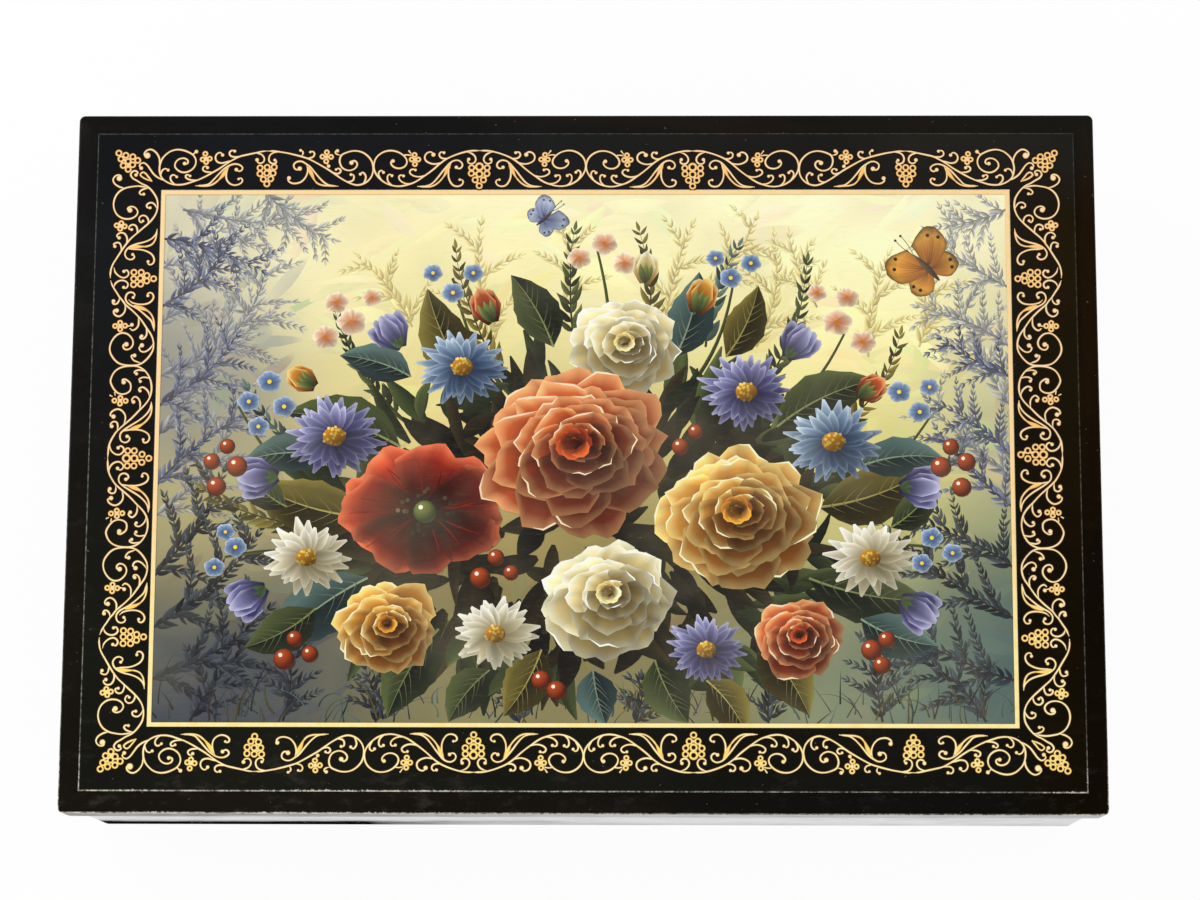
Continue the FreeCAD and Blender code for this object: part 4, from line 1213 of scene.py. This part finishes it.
def butterfly(centre, angle, size, tones):
    """A small butterfly with spread wings."""
    dark, mid, light = tones
    for side in (-1, 1):
        for aside, share, width in ((2.15, 0.72, 0.34), (0.95, 1.0, 0.42)):
            a = angle + side * aside
            reach = size * share
            petal(centre, a, reach, size * width, mix(mid, dark, 0.2), light, dark, rows=8, cols=10,
                  tip=0.42, neck=0.15, ruffle=0.02, bend=-side * 0.35, lit=1.0 if side > 0 else 0.9)
            for k in range(4):
                spot = around(centre, reach * 0.78, a + (k - 1.5) * 0.16 - side * 0.14)
                dot(spot, size * 0.045, mix(dark, light, 0.75) if k % 2 else dark)
            for k in range(5):
                vein, v = curve(centre, a + (k - 2) * 0.13, reach * 0.7, -side * 0.3, 5)
                stroke(vein, 0.06 * (1.1 - v), mix(dark, mid, 0.3), cols=2)
    back, v = curve(around(centre, -size * 0.4, angle), angle, size * 0.85, 0.1, 8)
    stroke(back, size * 0.075 * swell(v, 0.08, 0.93), mix(dark, (0.4, 0.3, 0.2), v), side=0.4, cols=4)
    for side in (-1, 1):
        feeler, _ = curve(back[-1], angle + side * 0.35, size * 0.55, -side * 0.4, 6)
        stroke(feeler, [0.05] * 6, dark, cols=2)
        dot(feeler[-1], size * 0.03, dark)


# Pairs of colours, dark and light, for what grows
slate = ((0.20, 0.22, 0.34), (0.46, 0.49, 0.60))
misty = ((0.37, 0.39, 0.49), (0.64, 0.66, 0.70))
ochre = ((0.78, 0.66, 0.36), (0.93, 0.85, 0.55))
dusk = ((0.08, 0.09, 0.12), (0.26, 0.29, 0.33))
olive = ((0.13, 0.11, 0.05), (0.50, 0.45, 0.20))
moss = ((0.07, 0.09, 0.06), (0.32, 0.36, 0.20))
teal = ((0.09, 0.14, 0.15), (0.36, 0.46, 0.43))
shade = ((0.06, 0.05, 0.04), (0.20, 0.17, 0.10))
rust = ((0.22, 0.07, 0.03), (0.86, 0.34, 0.12))
pale_blue = ((0.26, 0.35, 0.52), (0.60, 0.69, 0.80))
blossom = ((0.78, 0.50, 0.36), (0.98, 0.89, 0.74))
# Colours of the flowers, from the dark base to the light edge
warm_red = ((0.20, 0.04, 0.02), (0.62, 0.18, 0.07), (0.86, 0.38, 0.17), (0.98, 0.76, 0.52))
amber = ((0.28, 0.12, 0.02), (0.74, 0.40, 0.09), (0.94, 0.66, 0.24), (1.0, 0.91, 0.60))
cream = ((0.50, 0.36, 0.15), (0.90, 0.79, 0.48), (0.99, 0.94, 0.70), (1.0, 1.0, 0.90))
poppy_red = ((0.14, 0.02, 0.02), (0.55, 0.08, 0.04), (0.80, 0.22, 0.10), (0.96, 0.56, 0.38))
violet = ((0.12, 0.11, 0.24), (0.36, 0.35, 0.56), (0.66, 0.66, 0.82))
blue = ((0.10, 0.16, 0.28), (0.32, 0.43, 0.58), (0.68, 0.77, 0.84))
white = ((0.50, 0.44, 0.30), (0.88, 0.84, 0.68), (1.0, 0.99, 0.92))
orange_wings = ((0.14, 0.08, 0.05), (0.75, 0.40, 0.12), (0.96, 0.72, 0.30))
blue_wings = ((0.22, 0.24, 0.36), (0.50, 0.54, 0.68), (0.80, 0.84, 0.88))

# Branches, each set as (x, y, angle, length, bend)
far_branches = [
    (-18, 22, 1.9, 26, -0.5), (-4, 30, 1.3, 18, 0.6), (16, 26, 1.5, 22, -0.4), (34, 22, 1.1, 24, 0.6),
    (56, 20, 1.6, 22, -0.5), (66, 22, 1.2, 20, 0.4), (-34, 26, 2.0, 18, 0.4), (24, 34, 0.7, 18, 0.5),
    (46, 30, 2.1, 16, -0.4),
]
misty_branches = [
    (-84, 26, 0.9, 27, 0.4), (-84, 4, 0.8, 30, 0.6), (-84, 38, 0.25, 30, 0.4), (-80, 50, -0.3, 24, 0.4),
    (-84, -12, 0.6, 28, 0.7), (-64, 54, -0.9, 18, 0.6), (-84, 16, 0.35, 28, 0.4), (-74, 20, 0.7, 24, 0.7),
    (84, 34, 2.7, 20, -0.4), (84, 10, 2.2, 26, -0.5), (84, -4, 2.6, 24, -0.5), (84, 22, 2.5, 20, 0.4),
    (84, 50, -2.7, 14, -0.4),
]
slate_branches = [
    (-84, 10, 0.5, 22, 0.5), (-84, -6, 0.9, 24, -0.4), (-84, 44, -0.1, 22, -0.4), (-84, 30, 0.5, 20, 0.5),
    (84, 0, 2.3, 20, 0.4), (84, 16, 2.8, 16, -0.4), (84, -10, 2.5, 22, -0.4),
]
low_branches = [
    (-84, -24, 0.8, 26, 0.4), (-84, -34, 0.5, 30, 0.5), (-76, -52, 1.1, 22, -0.4), (-84, -44, 0.3, 28, 0.5),
    (84, -22, 2.5, 24, 0.4), (84, -32, 2.7, 30, -0.4), (78, -52, 2.1, 20, 0.5), (84, -44, 2.9, 28, -0.5),
    (-58, -52, 1.3, 16, 0.4), (58, -52, 1.8, 16, -0.4), (-40, -53, 1.5, 12, 0.5), (36, -53, 1.7, 12, -0.5),
    (10, -53, 1.2, 10, 0.4), (-12, -53, 1.9, 10, -0.4),
]
# Stems as (start, end, sag), and sprays that stand out of the bunch as (start, angle, length, bend, tones)
stems = [
    ((-10, 8), (-26, 36), 3), ((4, 10), (2, 44), -2), ((16, 8), (30, 38), -3), ((28, 4), (52, 26), -4),
    ((-26, 2), (-48, 26), 4), ((-40, -10), (-68, 10), 5), ((40, -8), (68, 8), -5),
    ((-44, -24), (-70, -20), -3), ((44, -24), (70, -18), 3),
]
tall_sprays = [
    ((-16, 16), 2.15, 28, -0.5, olive), ((12, 24), 1.35, 22, 0.5, olive), ((34, 12), 0.95, 30, 0.5, moss),
    ((-36, 8), 2.4, 26, -0.6, moss), ((-2, 24), 1.75, 22, -0.4, moss), ((48, 4), 0.6, 26, 0.7, olive),
    ((-48, -4), 2.7, 26, -0.7, teal), ((24, 22), 1.5, 22, -0.5, teal), ((52, -12), 0.2, 26, 0.7, teal),
    ((-52, -14), 3.1, 24, -0.6, olive),
]
# Leaves round the flowers, as (base, angle, length, width, tones, bend)
leaves = [
    ((-36, 2), 2.6, 24, 5.6, moss, 0.5), ((-42, -12), 3.1, 24, 5.6, olive, -0.5),
    ((-42, -24), 3.6, 24, 5.8, teal, 0.4), ((-28, -34), 4.0, 20, 5.4, moss, 0.4),
    ((-8, -38), 4.4, 15, 4.6, olive, -0.4), ((14, -40), 5.0, 14, 4.6, moss, 0.4),
    ((34, -36), 5.5, 18, 5.0, olive, -0.4), ((44, -24), 5.9, 24, 5.6, moss, 0.4),
    ((46, -10), 0.1, 24, 5.6, olive, 0.5), ((38, 6), 0.7, 22, 5.2, moss, -0.5),
    ((18, 20), 1.1, 18, 4.6, teal, 0.4), ((-6, 22), 1.9, 17, 4.4, moss, 0.4),
    ((-22, 14), 2.2, 22, 5.0, olive, -0.4), ((-50, 0), 2.9, 17, 4.0, teal, 0.6),
    ((54, -2), 0.4, 17, 4.0, teal, -0.6), ((-52, -30), 3.9, 16, 4.4, moss, -0.5),
    ((54, -32), 5.7, 16, 4.4, teal, 0.5), ((28, 20), 0.9, 16, 4.0, olive, 0.5),
    ((-34, 16), 2.6, 15, 3.8, teal, 0.5), ((2, -42), 4.8, 11, 4.0, teal, 0.3),
    ((-18, -42), 3.8, 13, 4.0, moss, 0.5), ((24, -44), 5.6, 13, 4.0, olive, -0.5),
    ((-58, -10), 2.7, 13, 3.2, moss, -0.6), ((60, -14), 0.5, 13, 3.2, moss, 0.6),
]
# Small flowers at the rim, as (x, y, radius)
blue_flowers = [
    (-62, 15, 2.5), (-66, 11, 2.3), (-59, 10, 2.4), (-64, 6, 2.2), (62, 13, 2.4), (66, 9, 2.3),
    (68, 14, 2.0), (-26, 33, 2.3), (-22, 37, 2.1), (-30, 37, 2.0), (29, 36, 2.3), (33, 39, 2.1),
    (26, 40, 1.9), (-68, -18, 2.3), (-72, -22, 2.1), (68, -16, 2.3), (72, -19, 2.1), (66, -21, 2.1),
    (-70, -15, 1.9),
]
blossoms = [
    (-46, 27, 3.0), (-51, 24, 2.7), (-49, 31, 2.4), (50, 27, 3.0), (55, 23, 2.6), (52, 32, 2.3),
    (4, 43, 2.6), (-1, 40, 2.4), (8, 39, 2.5), (-42, 32, 2.0), (46, 33, 2.0),
]
# Bells and buds as (base, angle, size, tones), and the berries' places
bells = [
    ((-60, -4), 3.2, 8, violet), ((-62, -26), 3.7, 8, violet), ((62, -6), 0.0, 8, violet),
    ((62, -28), -0.6, 8, violet), ((-36, 22), 2.2, 7.5, violet), ((40, 20), 0.9, 7.5, violet),
]
buds = [
    ((-18, 27), 2.0, 7.5, warm_red), ((22, 29), 1.2, 7.5, amber), ((-53, 14), 2.6, 6.5, amber),
    ((54, 12), 0.6, 6.5, warm_red), ((12, 35), 1.5, 6.5, cream),
]
berries = [
    (-70, 2), (-73, -1), (-68, -2), (-72, -6), (72, 2), (75, -1), (70, -2), (74, -6), (-17, -20), (-14, -23),
    (-20, -24), (19, 2), (22, 5), (-56, -36), (-53, -39), (-58, -40), (56, -38), (59, -36), (58, -41),
    (-8, -44), (-5, -46),
]


# How many loose strokes there are, and the oval that the dark inside of the bunch fills
ground_stroke_count, grass_count, inside_count = 460, 150, 330
bunch_middle_y, bunch_half_x, bunch_half_y = -14, 50, 29


def ground_strokes():
    """Broad soft strokes that break up the ground."""
    for _ in range(ground_stroke_count):
        x, y = rng.uniform(-86, 86), rng.uniform(-54, 55)
        tone = ground_color(x, y) * (1 + rng.normal(0, 0.02, 3)) + rng.normal(0, 0.006)
        path, v = curve((x, y), rng.normal(0.15, 0.5), rng.uniform(6, 16), rng.normal(0, 0.5), 7)
        tones = mix(ground_color(path[:, 0], path[:, 1]), tone, swell(v) ** 0.7)
        stroke(path, rng.uniform(0.6, 1.9) * swell(v, 0.06, 0.94), tones, side=0.01, bristle=0.006, cols=5)


def grass():
    """Blades of grass along the picture's front edge."""
    for _ in range(grass_count):
        x, y = rng.uniform(-84, 84), -53 + rng.uniform(0, 5)
        if rng.random() < 0.6:
            tone = mix(dusk[0], teal[1], rng.uniform(0, 0.8))
        else:
            tone = mix(*olive, rng.uniform(0, 0.6))
        path, v = curve((x, y), np.pi / 2 + rng.normal(0, 0.45), rng.uniform(4, 11), rng.normal(0, 0.9), 7)
        stroke(path, rng.uniform(0.09, 0.2) * (1.05 - v), mix(tone, tone * 1.2, v), cols=3)


def dark_inside():
    """Shadowy leaves in the middle of the bunch."""
    for _ in range(inside_count):
        a = rng.uniform(0, 2 * np.pi)
        r = np.sqrt(rng.uniform(0, 1))
        x, y = bunch_half_x * r * np.cos(a), bunch_middle_y + bunch_half_y * r * np.sin(a)
        path, v = curve((x, y), a + rng.normal(0, 0.5), rng.uniform(8, 15), rng.normal(0, 0.5), 8)
        tone = mix(*(shade if r < 0.8 else moss), rng.uniform(0, 0.9))
        half = rng.uniform(1.2, 2.4) * swell(v, 0.04, 0.96, power=0.8)
        stroke(path, half, tone * (0.8 + 0.4 * v)[:, None], side=0.25, cols=4)


def compose(varnish):
    """Everything in the picture, from the ground up and from the rim of the bunch to its middle."""
    ground_strokes()
    for branches, size, tones, fade, twigs in (
            (far_branches, 3.6, ochre, 0.45, 4), (misty_branches, 2.9, misty, 0.3, 7),
            (slate_branches, 2.7, slate, 0.05, 6), (low_branches, 3.4, dusk, 0.08, 6)):
        for branch in branches:
            branching(*branch, size, tones, fade, twigs)
    grass()
    painting.piece("picture_foliage", varnish)
    for places in stems:
        stem(*places)
    for *places, tones in tall_sprays:
        spray(*places, 4.4, 0.6, tones, fade=0.08, pitch=1.8, spread=0.7, stem_half=0.2)
    dark_inside()
    for places in leaves:
        leaf(*places)
    for x, y, radius in blue_flowers:
        small_flower((x, y), radius, pale_blue, rng.uniform(0, 6), eye=(0.98, 0.85, 0.3))
    for x, y, radius in blossoms:
        small_flower((x, y), radius, blossom, rng.uniform(0, 6), eye=(0.8, 0.45, 0.12))
    for places in bells:
        bellflower(*places)
    for places in buds:
        bud(*places)
    painting.piece("picture_leaves", varnish)
    rayed((-49, 4), 9.5, violet, 20, 0.2)
    rayed((49, 3), 9.5, blue, 20, 0.5)
    rayed((-54, -20), 8.5, white, 17, 0.4, width=0.15)
    rayed((56, -20), 8.5, white, 17, 0.1, width=0.15)
    rayed((-24, 18), 9.0, blue, 19, 0.3)
    rayed((32, 13), 9.0, violet, 19, 0.1)
    many_petalled((8, 22), 11.0, cream, (10, 9, 7, 6, 5), 0.5)
    rayed((-17, -35), 8.5, white, 17, 0.7, width=0.15)
    rayed((24, -38), 8.0, violet, 18, 0.2)
    many_petalled((-38, -34), 10.0, amber, (10, 9, 7, 5), 0.9)
    many_petalled((42, -36), 9.0, warm_red, (9, 8, 7, 5), 0.2)
    poppy(np.array((-31, -11)), 16.5, poppy_red)
    many_petalled((30, -12), 16.0, amber, (11, 11, 9, 7, 6, 5), 0.3)
    many_petalled((5, -28), 13.0, cream, (10, 9, 8, 6, 5), 0.8)
    many_petalled((-2, 1), 19.0, warm_red, (12, 12, 10, 9, 7, 5), 0.1)
    for place in berries:
        berry(place, rng.uniform(1.5, 2.1), *rust)
    butterfly((68, 38), 2.3, 8.5, orange_wings)
    butterfly((-8, 48), 0.7, 5.0, blue_wings)
    painting.piece("picture_flowers", varnish)


def painted_ground(material):
    """The picture's card: a thin slab whose top carries the ground's colours."""
    pitch = 1.0
    columns, rows = (int(n) + 1 for n in 2 * picture_half / pitch)
    x, y = np.meshgrid(np.linspace(sheet_low[0], sheet_high[0], columns),
                       np.linspace(sheet_low[1], sheet_high[1], rows))
    top = np.stack([x, y, np.full_like(x, ground_z)], axis=-1).reshape(-1, 3)
    index = np.arange(rows * columns).reshape(rows, columns)
    edge = np.concatenate([index[0, :-1], index[:-1, -1], index[-1, :0:-1], index[:0:-1, 0]])
    under = top[edge]
    under[:, 2] = sheet_low[2]
    under_index = len(top) + np.arange(len(edge))
    quads = np.stack([index[:-1, :-1], index[:-1, 1:], index[1:, 1:], index[1:, :-1]], axis=-1)
    sides = np.stack([np.roll(edge, -1), edge, under_index, np.roll(under_index, -1)], axis=-1)
    points = np.vstack([top, under])
    mesh = bpy.data.meshes.new("picture_ground")
    faces = quads.reshape(-1, 4).tolist() + sides.tolist() + [under_index[::-1].tolist()]
    mesh.from_pydata((points * MM).tolist(), [], faces)
    store_colors(mesh, ground_color(points[:, 0], points[:, 1]))
    flat_map(mesh)
    mesh.materials.append(material)
    made = ride_on_lid("picture_ground", mesh)
    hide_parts("picture_sheet")


def paint_under_varnish(name):
    """Painted colours with a fine canvas of bristle marks, under a clear gloss coat."""
    t = Tree(name)
    painted = t.add("ShaderNodeAttribute", attribute_name="paint").outputs["Color"]
    bristle = t.noise(1.1, detail=4.0, roughness=0.6, stretch=(0.35, 1.4, 1.0))
    cloud = t.noise(0.05, detail=3.0)
    deeper = t.mix(t.ramp(bristle, 0.5, 0.75, 0.0, 0.07), painted, (0.3, 0.2, 0.07))
    color = t.mix(t.ramp(cloud, 0.4, 0.75, 0.0, 0.05), deeper, (1.0, 0.92, 0.6))
    roughness = t.ramp(t.noise(0.07, detail=4.0), 0.3, 0.7, 0.14, 0.26)
    ripple = t.bump(t.noise(0.3, detail=2.0), 0.02, 0.2)
    normal = t.bump(bristle, 0.012, 0.35, under=ripple)
    return t.look(color, roughness, normal, Specular_IOR_Level=0.14)


# Tones of the black lacquer at the front left, front right, back left and back right, with a painted
# reflection in them: lighter towards the back and darkest at the front right
wall_tones_with_sheen = ((0.0055, 0.005, 0.004), (0.003, 0.003, 0.003), (0.006, 0.006, 0.007), (0.007, 0.006, 0.005))
rail_tones_with_sheen = ((0.005, 0.0034, 0.0012), (0.0011, 0.0008, 0.0003), (0.004, 0.004, 0.0045),
              (0.0065, 0.005, 0.003))
field_tones_with_sheen = ((0.0055, 0.0060, 0.0034), (0.0026, 0.0024, 0.0010), (0.0060, 0.0067, 0.0085),
               (0.0128, 0.0118, 0.0090))


def finish(material, names):
    """The one material of some CAD nodes."""
    for name in names:
        nodes[name].data.materials.clear()
        nodes[name].data.materials.append(material)


def dress_cad():
    """A finished material for every CAD node, with its grain along the piece."""
    bevel_foot = 1.5
    wall_low, _ = box_of("front_wall")
    _, wall_high = box_of("back_wall", "right_wall")
    rail_low, rail_high = box_of("lid_front_rail", "lid_back_rail", "lid_left_rail", "lid_right_rail")
    wall_box, rail_box = (wall_low, wall_high), (rail_low, rail_high - np.array([0, 0, bevel_foot]))
    long_grain, short_grain = (0.06, 1.0, 1.0), (1.0, 0.06, 1.0)
    for side, grain, walls, rails in (
            ("long", long_grain, ["front_wall", "back_wall", "bottom_panel"],
             ["lid_front_rail", "lid_back_rail"]),
            ("short", short_grain, ["left_wall", "right_wall"], ["lid_left_rail", "lid_right_rail"])):
        wall = black_lacquer("black_lacquer_walls_" + side, wall_box, rub_width=0.5, tones=wall_tones_with_sheen,
                             brown=0.3, grain=grain, polish=0.7, matt_places=wall_matt)
        rail = black_lacquer("black_lacquer_rails_" + side, rail_box, rub_width=0.45, tones=rail_tones_with_sheen,
                             brown=0.8, grain=grain, polish=0.28, matt_places=rail_matt)
        finish(wall, walls)
        finish(rail, rails)
    field = black_lacquer("black_lacquer_field", (field_low, field_high), rub_width=0.5, tones=field_tones_with_sheen,
                          brown=0.15, grain=long_grain, polish=0.45, matt_places=evenly_glossy)
    finish(field, ["lid_field_panel", "picture_sheet"])
    finish(red_lacquer("red_lacquer_satin"),
           ["front_liner", "back_liner", "left_liner", "right_liner", "floor_card", "lid_lining"])
    finish(brass("brass_drawn"), [name for name in nodes if "hinge" in name])


def studio():
    """White floor, even white surroundings and one broad soft lamp."""
    floor_half = 2.5
    below = -0.05 * MM
    mesh = bpy.data.meshes.new("floor")
    corners = ((-1, -1), (1, -1), (1, 1), (-1, 1))
    mesh.from_pydata([(sx * floor_half, sy * floor_half, below) for sx, sy in corners], [], [(0, 1, 2, 3)])
    mesh.materials.append(floor_white("floor_sheet"))
    floor = in_scene("floor", mesh)

    world = bpy.data.worlds.new("studio")
    bpy.context.scene.world = world
    world.use_nodes = True
    tree = world.node_tree
    background = tree.nodes["Background"]
    strength = tree.nodes.new("ShaderNodeMapRange")
    tree.links.new(looked_at(tree), strength.inputs["Value"])
    strength.inputs["To Min"].default_value = 0.8
    strength.inputs["To Max"].default_value = 1.0
    tree.links.new(strength.outputs[0], background.inputs["Strength"])
    background.inputs["Color"].default_value = (1, 1, 1, 1)

    lamp_data = bpy.data.lights.new("soft_box", "AREA")
    lamp_data.shape = "RECTANGLE"
    lamp_data.size = 0.9
    lamp_data.size_y = 0.6
    lamp_data.energy = 6.2
    lamp_data.color = (1.0, 0.99, 0.97)
    lamp = in_scene("soft_box", lamp_data)
    lamp.location = (-0.95, 0.55, 0.78)
    lamp.rotation_euler = (-lamp.location).to_track_quat("-Z", "Y").to_euler()


def camera():
    """The photograph's view, from above and a little in front."""
    image_width, focal_pixels, sensor = 1200, 3300, 36
    eye = (12.76, -114.05, 686.87)
    turns = (10.270, 0.821, 0.192)
    data = bpy.data.cameras.new("view")
    data.sensor_width = sensor
    data.lens = sensor * focal_pixels / image_width
    data.clip_start = 0.01
    made = in_scene("view", data)
    made.location = [place * MM for place in eye]
    made.rotation_euler = [math.radians(turn) for turn in turns]
    bpy.context.scene.camera = made


camera()
studio()
dress_cad()
gold = gold_paint("gold_paint_pale")
gold_border(gold)
gold_frame(gold)
varnished = paint_under_varnish("paint_under_varnish")
painted_ground(varnished)
compose(varnished)
bpy.context.scene.view_settings.view_transform = "Standard"
